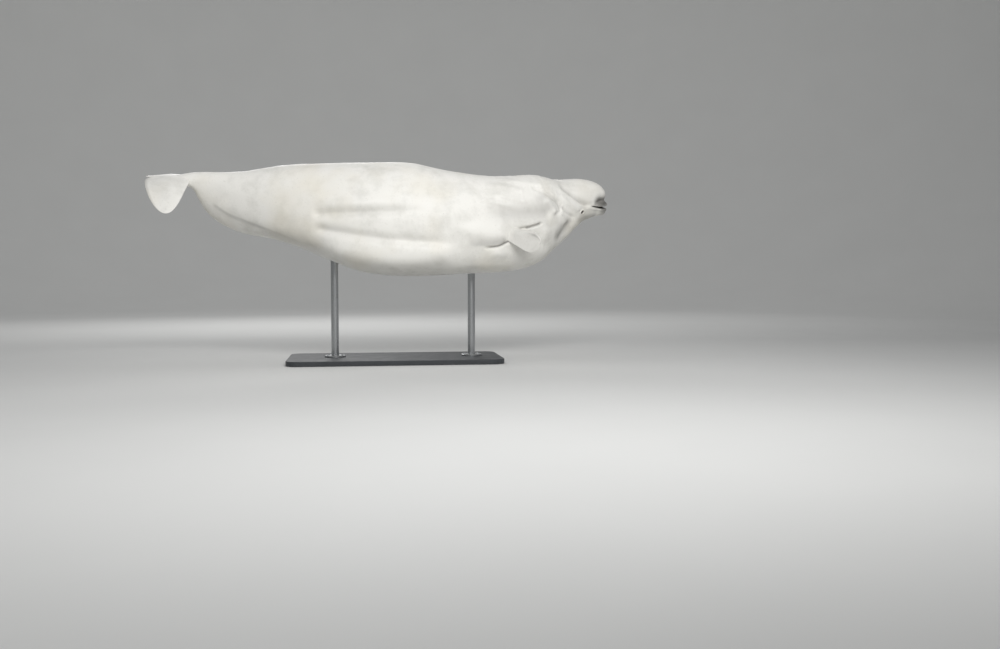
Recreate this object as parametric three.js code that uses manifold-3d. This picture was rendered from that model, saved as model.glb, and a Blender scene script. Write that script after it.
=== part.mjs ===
// Adult beluga whale, swimming, as a life-size display model on a flat base with two short rods.
// Units are millimetres, +Z up, +X towards the head. The origin is the centre of the base's underside.
// The body is lofted straight along its own axis, then posed: the neck turns left and the tail twists.

import * as THREE from 'three';
import { mergeVertices } from 'three/addons/utils/BufferGeometryUtils.js';
import Module from 'manifold-3d';

const wasm = await Module();
wasm.setup();

// Driving dimensions
const SNOUT_X = 1800; // beak tip, ahead of the middle of the base
const AXIS_HEIGHT = 1150; // body axis above the floor
const GAP = 0.4; // clearance between touching pieces
const RING_SIDES = 48;
const SKIN_END = 0.25; // how much of the first station's way the flat front of the beak takes
const RINGS_PER_STATION = { head: 3, body: 2 };

// Pose: turn is to the whale's left, roll lowers its right side, both in degrees, along the body
const POSE = {
  turn: { head: 13, headEnd: 510, neckEnd: 1250, tailStart: 2300, tailEnd: 3500, tail: 9 },
  pitch: { head: 4, headEnd: 510, neckEnd: 1250 },
  roll: { head: 10, headEnd: 510, neckEnd: 1250, middle: 2, tailStart: 2250, tailEnd: 3400, tail: 19 },
  rollAxis: { front: 40, tail: 300 },
};

// Body stations, from beak to fluke notch. s is the distance behind the beak tip and z the height over
// the body axis. crown, flank and keel are the top line, the widest line and the bottom line. full is how
// square the upper and lower quarters are: 0.71 is an ellipse.
const head = (crown, flank, keel, brow, jowl = [0.78, 0.72]) => ({ crown, flank, keel, brow, jowl });
const ring = (s, top, half, middle, bottom, upper = 0.72, lower = 0.76) => ({
  crown: [s, top],
  flank: [s, half, middle],
  keel: [s, bottom],
  brow: [upper, upper],
  jowl: [lower, lower],
});
const STATIONS = [
  head([0, 74], [0, 0, 74], [0, 74], [0.7, 0.7]), // beak tip
  head([0, 96], [10, 50, 74], [2, 36], [0.88, 0.74]),
  head([6, 112], [36, 80, 75], [16, 2], [0.88, 0.78]),
  head([20, 126], [70, 99, 76], [54, -6], [0.98, 0.7]), // crease under the melon
  head([17, 164], [104, 114, 78], [108, -10], [1.1, 0.6]),
  head([31, 216], [138, 129, 80], [158, -18], [1.1, 0.57]),
  head([71, 257], [172, 142, 82], [208, -33], [1.04, 0.58]),
  head([130, 283], [205, 154, 82], [254, -47], [0.98, 0.61]), // corner of the mouth
  head([205, 300], [246, 168, 76], [296, -70], [0.92, 0.64]),
  head([280, 306], [290, 184, 66], [338, -106], [0.86, 0.66]), // eye
  head([358, 304], [345, 204, 50], [378, -143], [0.81, 0.68]),
  head([432, 303], [412, 227, 36], [426, -196], [0.77, 0.7]), // blowhole
  ring(510, 318, 253, 20, -268, 0.74, 0.74),
  ring(620, 347, 291, -4, -350, 0.73, 0.75),
  ring(770, 351, 322, -34, -408, 0.72, 0.76),
  ring(960, 346, 350, -52, -434, 0.72, 0.77),
  ring(1190, 364, 370, -54, -442, 0.72, 0.79),
  ring(1450, 398, 386, -46, -452, 0.72, 0.8),
  ring(1740, 434, 390, -34, -462, 0.72, 0.8),
  ring(2010, 424, 376, -20, -434, 0.72, 0.79),
  ring(2250, 420, 344, 8, -354, 0.72, 0.77),
  ring(2480, 412, 296, 48, -256, 0.72, 0.75),
  ring(2720, 398, 232, 96, -178, 0.72, 0.73),
  ring(2930, 366, 176, 128, -138, 0.71, 0.72),
  ring(3100, 350, 128, 158, -82, 0.71, 0.71),
  ring(3230, 348, 92, 196, 2, 0.71, 0.71),
  ring(3312, 345, 72, 236, 122, 0.71, 0.71),
  ring(3366, 339, 58, 266, 218, 0.71, 0.71),
  ring(3450, 322, 42, 281, 236, 0.71, 0.71),
  ring(3550, 302, 20, 290, 268, 0.71, 0.71),
  ring(3600, 292, 0, 292, 292), // end of the tail stock, inside the flukes
];

// Folds of blubber and skin, seen from the side as paths of [s, z] from front to back. rise is how far a
// fold stands out, or sinks in where it is negative, spread is its reach above and below its path, and fade
// is how slowly its front and rear ends run out.
const fold = (rise, spread, fade, path) => ({ rise, spread, fade, path });
const FOLDS = {
  overBeak: fold(-26, [42, 16], [20, 30], [[-10, 130], [30, 136], [90, 132], [140, 116], [185, 104]]),
  underMelon: fold(
    -19,
    [28, 16],
    [50, 60],
    [[180, 104], [225, 107], [266, 118], [359, 172], [433, 236], [505, 288]],
  ),
  cheek: fold(13, [22, 20], [60, 60], [[300, 60], [340, 80], [425, 130], [471, 168], [520, 208]]),
  behindCheek: fold(-9, [14, 16], [50, 50], [[350, 5], [396, 31], [472, 86], [523, 154], [557, 193]]),
  throatBulge: fold(13, [24, 24], [30, 30], [[462, -24], [500, 25], [540, 85]]),
  behindNeck: fold(-17, [20, 20], [50, 60], [[515, 60], [533, 145], [594, 203], [685, 256], [760, 275]]),
  neckRoll: fold(19, [28, 28], [40, 40], [[575, 60], [612, 130], [660, 198]]),
  throat: fold(-12, [26, 26], [60, 60], [[400, 20], [475, -73], [540, -185]]),
  shoulderHollow: fold(
    -20,
    [50, 44],
    [90, 160],
    [[590, 70], [709, 82], [868, 75], [1008, 70], [1150, 50]],
  ),
  firstShoulder: fold(9, [20, 16], [60, 120], [[610, 285], [800, 302], [1010, 322]]),
  secondShoulder: fold(9, [20, 16], [60, 120], [[790, 236], [930, 262], [1120, 282]]),
  thirdShoulder: fold(10, [22, 18], [50, 120], [[790, 148], [930, 182], [1090, 204]]),
  shoulderRoll: fold(22, [76, 56], [60, 300], [[950, -118], [1100, -118], [1230, -100], [1450, -50]]),
  behindFlipper: fold(-18, [14, 9], [40, 60], [[940, -146], [1005, -198], [1065, -216], [1135, -232]]),
  belowArmpit: fold(12, [34, 40], [60, 120], [[920, -225], [1000, -258], [1130, -272]]),
  beforeFlipper: fold(-17, [14, 8], [40, 40], [[680, 6], [744, -20], [829, -47], [890, -62]]),
  chest: fold(11, [40, 40], [60, 60], [[645, -20], [665, -90], [695, -170]]),
  overUpperGroove: fold(10, [46, 34], [260, 120], [[1800, 112], [2100, 112], [2430, 100]]),
  upperGroove: fold(
    -21,
    [32, 36],
    [420, 70],
    [[1500, 62], [1924, 50], [2150, 40], [2300, 34], [2450, 32]],
  ),
  lowerGroove: fold(
    -27,
    [42, 34],
    [300, 90],
    [[1280, -190], [1420, -192], [1769, -174], [2000, -150], [2187, -124], [2303, -106], [2450, -76]],
  ),
  bellyRoll: fold(
    34,
    [84, 84],
    [150, 300],
    [[1300, -262], [1464, -285], [1697, -308], [1999, -296], [2305, -232], [2470, -165]],
  ),
  edgeOfRump: fold(
    11,
    [70, 24],
    [200, 60],
    [[2345, -240], [2538, -165], [2733, -80], [2929, 4], [3081, 62], [3215, 146]],
  ),
  middleOfFlank: fold(8, [70, 60], [150, 150], [[1240, -60], [1400, 0], [1560, 50]]),
};
// The low ridge that a beluga has in place of a back fin
const RIDGE = { start: 1300, end: 2950, fades: [550, 500], rise: 16, half: 0.16 };

// Thin cuts that part the body, as distances behind the beak tip
const CUTS = { neck: 505, chest: 640, torso: 1250, rump: 2250, tailStock: 3000 };
const MOUTH = { corner: 180, shut: 155, opening: 12 };
const JAW_CUT = [
  [-40, 64],
  [0, 66],
  [72, 70],
  [140, 78],
  [190, 86],
  [230, 70],
  [262, 0],
  [290, -110],
  [300, -260],
];
const MELON_CUT = [
  [-60, 130],
  [20, 135],
  [92, 131],
  [140, 114],
  [188, 103],
  [225, 107],
  [266, 118],
  [359, 172],
  [433, 236],
  [428, 300],
  [410, 400],
];
const EYE = {
  s: 299,
  z: 60,
  radius: 19,
  proud: 4,
  lid: 5.5,
  lidSunk: 2,
  inset: 3,
  long: 1.3,
  high: 0.8,
  slant: -38,
};
const BLOWHOLE = {
  s: 452,
  width: 68,
  bow: -18,
  slit: 8,
  depth: 12,
  lip: 7,
  proud: 3.5,
  sunk: 22,
  steps: 10,
};

// Flippers: root is where the line enters the body, and line runs outwards through it. pitch is how far the
// blade's front edge is turned down, in degrees, at its root and at its tip, and curl how far it lifts there.
const FLIPPER = {
  chords: [112, 122, 142, 174, 180],
  thick: 58,
  bend: 0.62,
  curl: 24,
  right: {
    root: [940, 326, -92],
    pitch: [-55, -66],
    line: [
      [110, -90, 50],
      [0, 0, 0],
      [-70, 78, -32],
      [-128, 148, -50],
      [-158, 205, -48],
    ],
  },
  left: {
    root: [880, 318, -108],
    pitch: [-12, 10],
    line: [
      [30, -130, 20],
      [0, 0, 0],
      [40, 110, -60],
      [84, 210, -104],
      [112, 275, -92],
    ],
  },
};
const FLUKE = {
  middle: 3528,
  level: 291,
  sweep: 66,
  bow: 45,
  half: 168,
  semiSpan: 410,
  taper: 0.12,
  thick: 56,
  droop: 36,
  notch: 30,
};

const STAND = {
  base: [1700, 760, 40],
  corner: 90,
  rodRadius: 30,
  flange: { radius: 85, thick: 14, bevel: 4 },
  rods: { front: 620, rear: -480 },
  sides: 32,
};

const COLOURS = { skin: 0xe9e8e2, eye: 0x17130f, base: 0x3a3d40, rod: 0xb9bdc0 };

const rad = THREE.MathUtils.degToRad;
const smooth = (x, a, b) => THREE.MathUtils.smoothstep(x, Math.min(a, b), Math.max(a, b));

// A natural cubic spline through values at 0, 1, 2 and so on
function spline(values) {
  const n = values.length;
  const m = new Array(n).fill(0);
  const c = new Array(n).fill(0);
  for (let i = 1; i < n - 1; i++) {
    const k = 1 / (4 - c[i - 1]);
    c[i] = k;
    m[i] = k * (6 * (values[i + 1] - 2 * values[i] + values[i - 1]) - m[i - 1]);
  }
  for (let i = n - 2; i > 0; i--) m[i] -= c[i] * m[i + 1];
  return (t) => {
    const i = Math.min(n - 2, Math.max(0, Math.floor(t)));
    const b = t - i;
    const a = 1 - b;
    return a * values[i] + b * values[i + 1] + ((a ** 3 - a) * m[i] + (b ** 3 - b) * m[i + 1]) / 6;
  };
}

// Pose
const POSE_STEP = 25;
const fade = (s, { head, headEnd, neckEnd }) => head * (1 - smooth(s, headEnd, neckEnd));
function turnAt(s) {
  const p = POSE.turn;
  return rad(fade(s, p) + p.tail * smooth(s, p.tailStart, p.tailEnd));
}
function pitchAt(s) {
  return rad(fade(s, POSE.pitch));
}
function rollAt(s) {
  const p = POSE.roll;
  return rad(p.middle + fade(s, p) + (p.tail - p.middle) * smooth(s, p.tailStart, p.tailEnd));
}
function rollAxisAt(s) {
  const { front, tail } = POSE.rollAxis;
  return front + (tail - front) * smooth(s, POSE.roll.tailStart, POSE.roll.tailEnd);
}
// The axis is walked from its middle to both ends, so that the middle stays over the base.
const POSE_MIDDLE = SNOUT_X;
function axisAt(s) {
  const steps = Math.max(1, Math.ceil(Math.abs(s - POSE_MIDDLE) / POSE_STEP));
  const step = (s - POSE_MIDDLE) / steps;
  const p = new THREE.Vector3(0, 0, AXIS_HEIGHT);
  for (let i = 0; i < steps; i++) {
    const middle = POSE_MIDDLE + (i + 0.5) * step;
    p.addScaledVector(forwardAt(middle), -step);
  }
  return p;
}
function forwardAt(s) {
  const [turn, pitch] = [turnAt(s), pitchAt(s)];
  const level = Math.cos(pitch);
  return new THREE.Vector3(Math.cos(turn) * level, Math.sin(turn) * level, Math.sin(pitch));
}
// Carries a point from the straight body, [s behind the beak, y, z over the axis], to the posed one.
function posed([s, y, z]) {
  const forward = forwardAt(s);
  const left = new THREE.Vector3(0, 0, 1).cross(forward).normalize();
  const up = forward.clone().cross(left);
  const roll = rollAt(s);
  const middle = rollAxisAt(s);
  const side = y * Math.cos(roll) - (z - middle) * Math.sin(roll);
  const height = middle + y * Math.sin(roll) + (z - middle) * Math.cos(roll);
  return axisAt(s).addScaledVector(left, side).addScaledVector(up, height).toArray();
}

// Solids
function solid(geometry) {
  geometry.deleteAttribute('normal');
  geometry.deleteAttribute('uv');
  const merged = mergeVertices(geometry, 1e-3);
  return new wasm.Manifold(
    new wasm.Mesh({
      numProp: 3,
      vertProperties: merged.attributes.position.array,
      triVerts: new Uint32Array(merged.index.array),
    }),
  );
}
function geometryOf(made) {
  const mesh = made.getMesh();
  const g = new THREE.BufferGeometry();
  g.setAttribute('position', new THREE.BufferAttribute(new Float32Array(mesh.vertProperties), 3));
  g.setIndex(new THREE.BufferAttribute(new Uint32Array(mesh.triVerts), 1));
  g.computeVertexNormals();
  return g;
}
function poseGeometry(geometry) {
  const p = geometry.attributes.position;
  for (let i = 0; i < p.count; i++) p.setXYZ(i, ...posed([p.getX(i), p.getY(i), p.getZ(i)]));
  return geometry;
}
// A closed skin over rings of points, with a fan at each end
function skin(rings) {
  const sides = rings[0].length;
  const points = rings.flat(2);
  const faces = [];
  const quad = (a, b, c, d) => faces.push(a, b, c, a, c, d);
  for (let i = 0; i + 1 < rings.length; i++) {
    for (let j = 0; j < sides; j++) {
      const k = (j + 1) % sides;
      quad(i * sides + j, i * sides + k, (i + 1) * sides + k, (i + 1) * sides + j);
    }
  }
  for (const [i, flip] of [[0, true], [rings.length - 1, false]]) {
    const centre = points.length / 3;
    points.push(...[0, 1, 2].map((k) => rings[i].reduce((sum, p) => sum + p[k], 0) / sides));
    for (let j = 0; j < sides; j++) {
      const a = i * sides + j;
      const b = i * sides + ((j + 1) % sides);
      if (flip) faces.push(centre, b, a);
      else faces.push(centre, a, b);
    }
  }
  const g = new THREE.BufferGeometry();
  g.setAttribute('position', new THREE.Float32BufferAttribute(points, 3));
  g.setIndex(faces);
  return g;
}
function facingOut(geometry) {
  const made = solid(geometry);
  if (made.volume() > 0) return made;
  const index = geometry.index.array;
  for (let i = 0; i < index.length; i += 3) [index[i + 1], index[i + 2]] = [index[i + 2], index[i + 1]];
  return solid(geometry);
}
const largest = (pieces) => pieces.reduce((a, b) => (a.volume() > b.volume() ? a : b));

const BROW_PLACE = 0.42; // how far the guide at 45 degrees lies from the crown to the flank, along the body

// Body surface. Five guides run along it, at 0, 45, 90, 135 and 180 degrees from the top, and each ring is
// the smooth closed curve through them.
const GUIDES = (() => {
  const rows = STATIONS.map(({ crown, flank, keel, brow, jowl }) => ({
    s: [
      crown[0],
      crown[0] + (flank[0] - crown[0]) * BROW_PLACE,
      flank[0],
      (flank[0] + keel[0]) / 2,
      keel[0],
    ],
    y: [flank[1] * brow[0], flank[1], flank[1] * jowl[0]],
    z: [
      crown[1],
      flank[2] + (crown[1] - flank[2]) * brow[1],
      flank[2],
      flank[2] + (keel[1] - flank[2]) * jowl[1],
      keel[1],
    ],
  }));
  const curves = (key, count) => Array.from({ length: count }, (_, k) => spline(rows.map((r) => r[key][k])));
  return { s: curves('s', 5), y: curves('y', 3), z: curves('z', 5) };
})();
function cosines(values, angle) {
  let sum = 0;
  for (let j = 0; j <= 4; j++) {
    let c = 0;
    for (let k = 0; k <= 4; k++) c += values[k] * Math.cos((j * k * Math.PI) / 4) * (k % 4 ? 1 : 0.5);
    sum += (c / 2) * Math.cos(j * angle) * (j % 4 ? 1 : 0.5);
  }
  return sum;
}
function sines(values, angle) {
  let sum = 0;
  for (let j = 1; j <= 3; j++) {
    let c = 0;
    for (let k = 1; k <= 3; k++) c += values[k - 1] * Math.sin((j * k * Math.PI) / 4);
    sum += (c / 2) * Math.sin(j * angle);
  }
  return sum;
}
function plainPoint(t, angle) {
  return [
    cosines(GUIDES.s.map((g) => g(t)), angle),
    sines(GUIDES.y.map((g) => g(t)), angle),
    cosines(GUIDES.z.map((g) => g(t)), angle),
  ];
}
const sideCurve = (path) => new THREE.CatmullRomCurve3(path.map(([s, z]) => new THREE.Vector3(s, z, 0)));
const FOLD_STEPS = 16;
const FOLD_LINES = Object.values(FOLDS).map(({ path, ...fold }) => {
  const curve = sideCurve(path);
  return { ...fold, points: curve.getSpacedPoints(FOLD_STEPS), length: curve.getLength() };
});
function foldRise(s, z) {
  let rise = 0;
  for (const fold of FOLD_LINES) {
    let best = Infinity;
    let along = 0;
    let above = false;
    for (let i = 0; i + 1 < fold.points.length; i++) {
      const [a, b] = [fold.points[i], fold.points[i + 1]];
      const [dx, dz] = [b.x - a.x, b.y - a.y];
      const share = ((s - a.x) * dx + (z - a.y) * dz) / (dx * dx + dz * dz);
      const u = Math.min(1, Math.max(0, share));
      const distance = Math.hypot(s - a.x - u * dx, z - a.y - u * dz);
      if (distance < best) {
        best = distance;
        along = ((i + u) / (fold.points.length - 1)) * fold.length;
        above = dx * (z - a.y) > dz * (s - a.x);
      }
    }
    const ends = smooth(along, 0, fold.fade[0]) * smooth(fold.length - along, 0, fold.fade[1]);
    rise += fold.rise * Math.exp(-((best / fold.spread[above ? 0 : 1]) ** 2)) * ends;
  }
  return rise;
}
function surfacePoint(t, angle, clearance = 0) {
  const p = plainPoint(t, angle);
  const e = 0.01;
  const a = plainPoint(t - e, angle);
  const b = plainPoint(t + e, angle);
  const c = plainPoint(t, angle - e);
  const d = plainPoint(t, angle + e);
  const along = new THREE.Vector3(b[0] - a[0], b[1] - a[1], b[2] - a[2]);
  const around = new THREE.Vector3(d[0] - c[0], d[1] - c[1], d[2] - c[2]);
  const out = around.cross(along).normalize();
  const away = new THREE.Vector3(0, p[1], p[2] - GUIDES.z[2](t));
  if (out.dot(away) < 0) out.negate();
  const sides = Math.abs(Math.sin(angle)) ** 0.5;
  const ridge =
    RIDGE.rise *
    Math.exp(-((Math.sin(angle / 2) / RIDGE.half) ** 2)) *
    smooth(p[0], RIDGE.start, RIDGE.start + RIDGE.fades[0]) *
    smooth(-p[0], -RIDGE.end, -RIDGE.end + RIDGE.fades[1]);
  const rise = clearance + foldRise(p[0], p[2]) * sides + ridge;
  return [p[0] + out.x * rise, p[1] + out.y * rise, p[2] + out.z * rise];
}
function bodySolid(clearance) {
  const last = STATIONS.length - 1;
  const headEnd = STATIONS.findIndex(({ crown }) => crown[0] > POSE.turn.headEnd) - 1;
  const places = [SKIN_END];
  for (let i = 1; i <= headEnd * RINGS_PER_STATION.head; i++) places.push(i / RINGS_PER_STATION.head);
  for (let i = 1; i < (last - headEnd) * RINGS_PER_STATION.body; i++) {
    places.push(headEnd + i / RINGS_PER_STATION.body);
  }
  places.push(last - SKIN_END / 2);
  return facingOut(
    skin(
      places.map((t) =>
        Array.from({ length: RING_SIDES }, (_, j) =>
          posed(surfacePoint(t, (2 * Math.PI * j) / RING_SIDES, clearance)),
        ),
      ),
    ),
  );
}

// Cutters
const CUT_WIDTH = 1500;
function crossCut(s) {
  return facingOut(poseGeometry(new THREE.BoxGeometry(GAP, CUT_WIDTH, CUT_WIDTH).translate(s, 0, 0)));
}
// A band across the whole body that follows a side-view path, as thick as thickness(share of the path)
function sheetCut(path, steps, thickness) {
  const curve = sideCurve(path);
  const [above, below] = [[], []];
  for (let i = 0; i <= steps; i++) {
    const p = curve.getPointAt(i / steps);
    const d = curve.getTangentAt(i / steps);
    const half = thickness(p.x, i / steps) / 2;
    above.push(new THREE.Vector2(p.x - d.y * half, p.y + d.x * half));
    below.unshift(new THREE.Vector2(p.x + d.y * half, p.y - d.x * half));
  }
  const g = new THREE.ExtrudeGeometry(new THREE.Shape([...above, ...below]), {
    depth: CUT_WIDTH,
    bevelEnabled: false,
  });
  g.rotateX(Math.PI / 2).translate(0, CUT_WIDTH / 2, 0);
  return facingOut(poseGeometry(mergeVertices(cleaned(g))));
}
function cleaned(g) {
  g.deleteAttribute('normal');
  g.deleteAttribute('uv');
  return g;
}
// The two pieces that a cut leaves, the bigger one first unless order says otherwise
function parted(made, cutter, order = () => true) {
  const pieces = made.subtract(cutter).decompose();
  const centre = (m) => {
    const { min, max } = m.boundingBox();
    return [0, 1, 2].map((k) => (min[k] + max[k]) / 2);
  };
  const big = [...pieces].sort((a, b) => b.volume() - a.volume()).slice(0, 2);
  return order(centre(big[0]), centre(big[1])) ? big : big.reverse();
}
const ahead = (a, b) => a[0] > b[0];
const higher = (a, b) => a[2] > b[2];

// Flippers: a paddle of rounded sections along a curved line, with a broad round end and the front edge
// curled up a little
const PADDLE = { sections: 13, corners: 18, end: 0.985, taper: 0.72, least: 0.3, rear: 0.25 };
function paddle(side, { root, line, pitch }) {
  const axes = [0, 1, 2].map((k) => spline(line.map((p) => p[k])));
  const lineAt = (place) => {
    const [s, y, z] = axes.map((axis) => axis(place));
    return new THREE.Vector3(s, y * side, z);
  };
  const chordAt = spline(FLIPPER.chords);
  const rings = [];
  for (let i = 0; i <= PADDLE.sections; i++) {
    const u = Math.sin(((i / PADDLE.sections) * PADDLE.end * Math.PI) / 2);
    const place = u * (line.length - 1);
    const centre = lineAt(place);
    const along = lineAt(place + 0.01).sub(lineAt(place - 0.01)).normalize();
    const twist = rad(pitch[0] + (pitch[1] - pitch[0]) * smooth(u, 0.15, 0.8));
    const forward = new THREE.Vector3(-Math.cos(twist), 0, -Math.sin(twist));
    forward.addScaledVector(along, -forward.dot(along)).normalize();
    const up = new THREE.Vector3().crossVectors(forward, along).multiplyScalar(-side).normalize();
    const rounded = Math.sqrt(1 - (Math.max(0, u - FLIPPER.bend) / (1 - FLIPPER.bend)) ** 2);
    const half = (chordAt(place) / 2) * rounded;
    const thick = FLIPPER.thick * (1 - PADDLE.taper * u) * Math.max(PADDLE.least, rounded);
    rings.push(
      Array.from({ length: PADDLE.corners }, (_, j) => {
        const a = (2 * Math.PI * j) / PADDLE.corners;
        const x = Math.cos(a);
        const rear = smooth(x, -1, 0.6) * (1 - PADDLE.rear) + PADDLE.rear;
        const curl = FLIPPER.curl * smooth(x, 0.3, 1) ** 2 * smooth(u, 0.35, 0.8);
        const p = centre
          .clone()
          .addScaledVector(forward, half * x)
          .addScaledVector(up, (thick / 2) * Math.sin(a) * rear + curl);
        return [p.x + root[0], p.y + root[1] * side, p.z + root[2]];
      }),
    );
  }
  return facingOut(poseGeometry(skin(rings)));
}

// Flukes: each lobe is a paddle swept back, curved down towards its tip
const LOBE = { sections: 14, corners: 20, end: 0.975, thin: 0.8, least: 0.35, rear: 0.72, notchReach: 0.045 };
function lobe(side) {
  const curl = 1.5 * rad(FLUKE.droop);
  const rings = [];
  for (let i = 0; i <= LOBE.sections; i++) {
    const angle = ((i / LOBE.sections) * LOBE.end * Math.PI) / 2;
    const u = Math.sin(angle);
    const half = FLUKE.half * Math.cos(angle) * (1 - FLUKE.taper * u);
    const middle = FLUKE.middle + FLUKE.sweep * u - FLUKE.bow * u * u;
    const bend = curl * u;
    const y = GAP / 2 + (FLUKE.semiSpan * Math.sin(bend)) / curl;
    const drop = (FLUKE.semiSpan * (1 - Math.cos(bend))) / curl;
    const thick = FLUKE.thick * (1 - LOBE.thin * u) * Math.max(LOBE.least, Math.cos(angle));
    const notch = FLUKE.notch * Math.exp(-u / LOBE.notchReach);
    rings.push(
      Array.from({ length: LOBE.corners }, (_, j) => {
        const a = (2 * Math.PI * j) / LOBE.corners;
        const x = -Math.cos(a);
        const rear = 1 - smooth(x, -0.4, 1) * LOBE.rear;
        const s = middle + half * x - notch * smooth(x, 0.2, 1);
        const t = (thick / 2) * Math.sin(a) * rear;
        return [s, side * (y + t * Math.sin(bend)), FLUKE.level - drop + t * Math.cos(bend)];
      }),
    );
  }
  return facingOut(poseGeometry(skin(rings)));
}

// Head details
function crownPoint(s) {
  let t = 1;
  while (GUIDES.s[0](t) < s) t += 0.01;
  return surfacePoint(t, 0);
}
function findOnSurface(s, z, side) {
  let best = null;
  for (let t = 4; t < 13; t += 0.05) {
    for (let angle = 0.6; angle < 2.4; angle += 0.02) {
      const p = surfacePoint(t, angle);
      const miss = Math.hypot(p[0] - s, p[2] - z);
      if (!best || miss < best.miss) best = { miss, t, angle };
    }
  }
  const at = (t, angle) => new THREE.Vector3(...posed(surfacePoint(t, side > 0 ? angle : -angle)));
  const p = at(best.t, best.angle);
  const along = at(best.t + 0.05, best.angle).sub(p).normalize();
  const around = at(best.t, best.angle + 0.02).sub(p);
  const out = new THREE.Vector3().crossVectors(around, along).multiplyScalar(side).normalize();
  if (out.y * side < 0) out.negate();
  return { p, along, out };
}
function eyeParts(side) {
  const { p, along, out } = findOnSurface(EYE.s, EYE.z, side);
  const up = new THREE.Vector3().crossVectors(out, along).normalize();
  if (up.z < 0) up.negate();
  const centre = p.clone().addScaledVector(out, EYE.proud - EYE.radius);
  const ball = (radius) =>
    solid(new THREE.SphereGeometry(radius, 18, 12).rotateX(Math.PI / 2).translate(...centre));
  const slant = new THREE.Matrix4().makeRotationZ(rad(EYE.slant) * side);
  const frame = new THREE.Matrix4().makeBasis(along, up, new THREE.Vector3().crossVectors(along, up));
  frame.setPosition(p.clone().addScaledVector(out, -EYE.lidSunk));
  const rim = new THREE.TorusGeometry(EYE.radius - EYE.inset, EYE.lid, 8, 20);
  rim.scale(EYE.long, EYE.high, 1).applyMatrix4(slant).applyMatrix4(frame);
  return { eye: ball(EYE.radius), socket: ball(EYE.radius + GAP), lids: facingOut(rim) };
}
function blowholeParts() {
  const top = crownPoint(BLOWHOLE.s);
  const crescent = (grow, depth, sunk) => {
    const edge = (v, side) => {
      const half = (BLOWHOLE.slit / 2) * Math.max(0.4, Math.sqrt(1 - v * v)) + grow;
      return new THREE.Vector2(BLOWHOLE.bow * v * v + side * half, (BLOWHOLE.width / 2 + grow) * v);
    };
    const steps = Array.from({ length: BLOWHOLE.steps + 1 }, (_, i) => (2 * i) / BLOWHOLE.steps - 1);
    const outline = [...steps.map((v) => edge(v, -1)), ...steps.reverse().map((v) => edge(v, 1))];
    const g = new THREE.ExtrudeGeometry(new THREE.Shape(outline), { depth, bevelEnabled: false });
    g.translate(top[0], 0, top[2] - sunk);
    return facingOut(poseGeometry(mergeVertices(cleaned(g))));
  };
  return {
    lip: crescent(BLOWHOLE.lip, BLOWHOLE.sunk + BLOWHOLE.proud, BLOWHOLE.sunk),
    slit: crescent(0, 2 * BLOWHOLE.sunk, BLOWHOLE.depth),
  };
}

// Stand
function baseSolid() {
  const [long, wide, tall] = STAND.base;
  const r = STAND.corner;
  const shape = new THREE.Shape();
  shape.moveTo(-long / 2 + r, -wide / 2);
  shape.lineTo(long / 2 - r, -wide / 2);
  shape.absarc(long / 2 - r, -wide / 2 + r, r, -Math.PI / 2, 0);
  shape.lineTo(long / 2, wide / 2 - r);
  shape.absarc(long / 2 - r, wide / 2 - r, r, 0, Math.PI / 2);
  shape.lineTo(-long / 2 + r, wide / 2);
  shape.absarc(-long / 2 + r, wide / 2 - r, r, Math.PI / 2, Math.PI);
  shape.lineTo(-long / 2, -wide / 2 + r);
  shape.absarc(-long / 2 + r, -wide / 2 + r, r, Math.PI, 1.5 * Math.PI);
  const g = new THREE.ExtrudeGeometry(shape, { depth: tall, bevelEnabled: false, curveSegments: 10 });
  return facingOut(mergeVertices(cleaned(g)));
}
function turned(profile, x) {
  const points = profile.map(([r, z]) => new THREE.Vector2(r, z));
  return facingOut(new THREE.LatheGeometry(points, STAND.sides).rotateX(Math.PI / 2).translate(x, 0, 0));
}
function flangeSolid(x) {
  const { radius, thick, bevel } = STAND.flange;
  const foot = STAND.base[2] + GAP;
  const top = foot + thick;
  return turned([[0, foot], [radius, foot], [radius, top - bevel], [radius - bevel, top], [0, top]], x);
}
function rodSolid(x) {
  const foot = STAND.base[2] + STAND.flange.thick + 2 * GAP;
  return turned([[0, foot], [STAND.rodRadius, foot], [STAND.rodRadius, AXIS_HEIGHT], [0, AXIS_HEIGHT]], x);
}

// Assembly
const nodes = {};
const cleared = bodySolid(GAP);
const eyes = { left: eyeParts(1), right: eyeParts(-1) };
const blowhole = blowholeParts();
let body = bodySolid(0);
for (const { lids } of Object.values(eyes)) body = body.add(lids);
body = body.add(blowhole.lip).subtract(blowhole.slit);
for (const { socket } of Object.values(eyes)) body = body.subtract(socket);
body = largest(body.decompose());

let rest = body;
let front;
[front, rest] = parted(rest, crossCut(CUTS.neck), ahead);
[nodes.neck, rest] = parted(rest, crossCut(CUTS.chest), ahead);
[nodes.chest, rest] = parted(rest, crossCut(CUTS.torso), ahead);
[nodes.torso, rest] = parted(rest, crossCut(CUTS.rump), ahead);
[nodes.rump, nodes.tail_stock] = parted(rest, crossCut(CUTS.tailStock), ahead);
[nodes.melon, front] = parted(front, sheetCut(MELON_CUT, 18, () => GAP), higher);
const mouthGap = (s) => GAP + MOUTH.opening * THREE.MathUtils.clamp((MOUTH.shut - s) / MOUTH.corner, 0, 1);
[nodes.head, nodes.lower_jaw] = parted(front, sheetCut(JAW_CUT, 20, mouthGap));

for (const [name, side] of [['left', 1], ['right', -1]]) {
  nodes[`eye_${name}`] = eyes[name].eye;
  nodes[`fluke_${name}`] = largest(lobe(side).subtract(cleared).decompose());
}
for (const [name, side] of [['left', 1], ['right', -1]]) {
  nodes[`flipper_${name}`] = largest(paddle(side, FLIPPER[name]).subtract(cleared).decompose());
}

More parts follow.
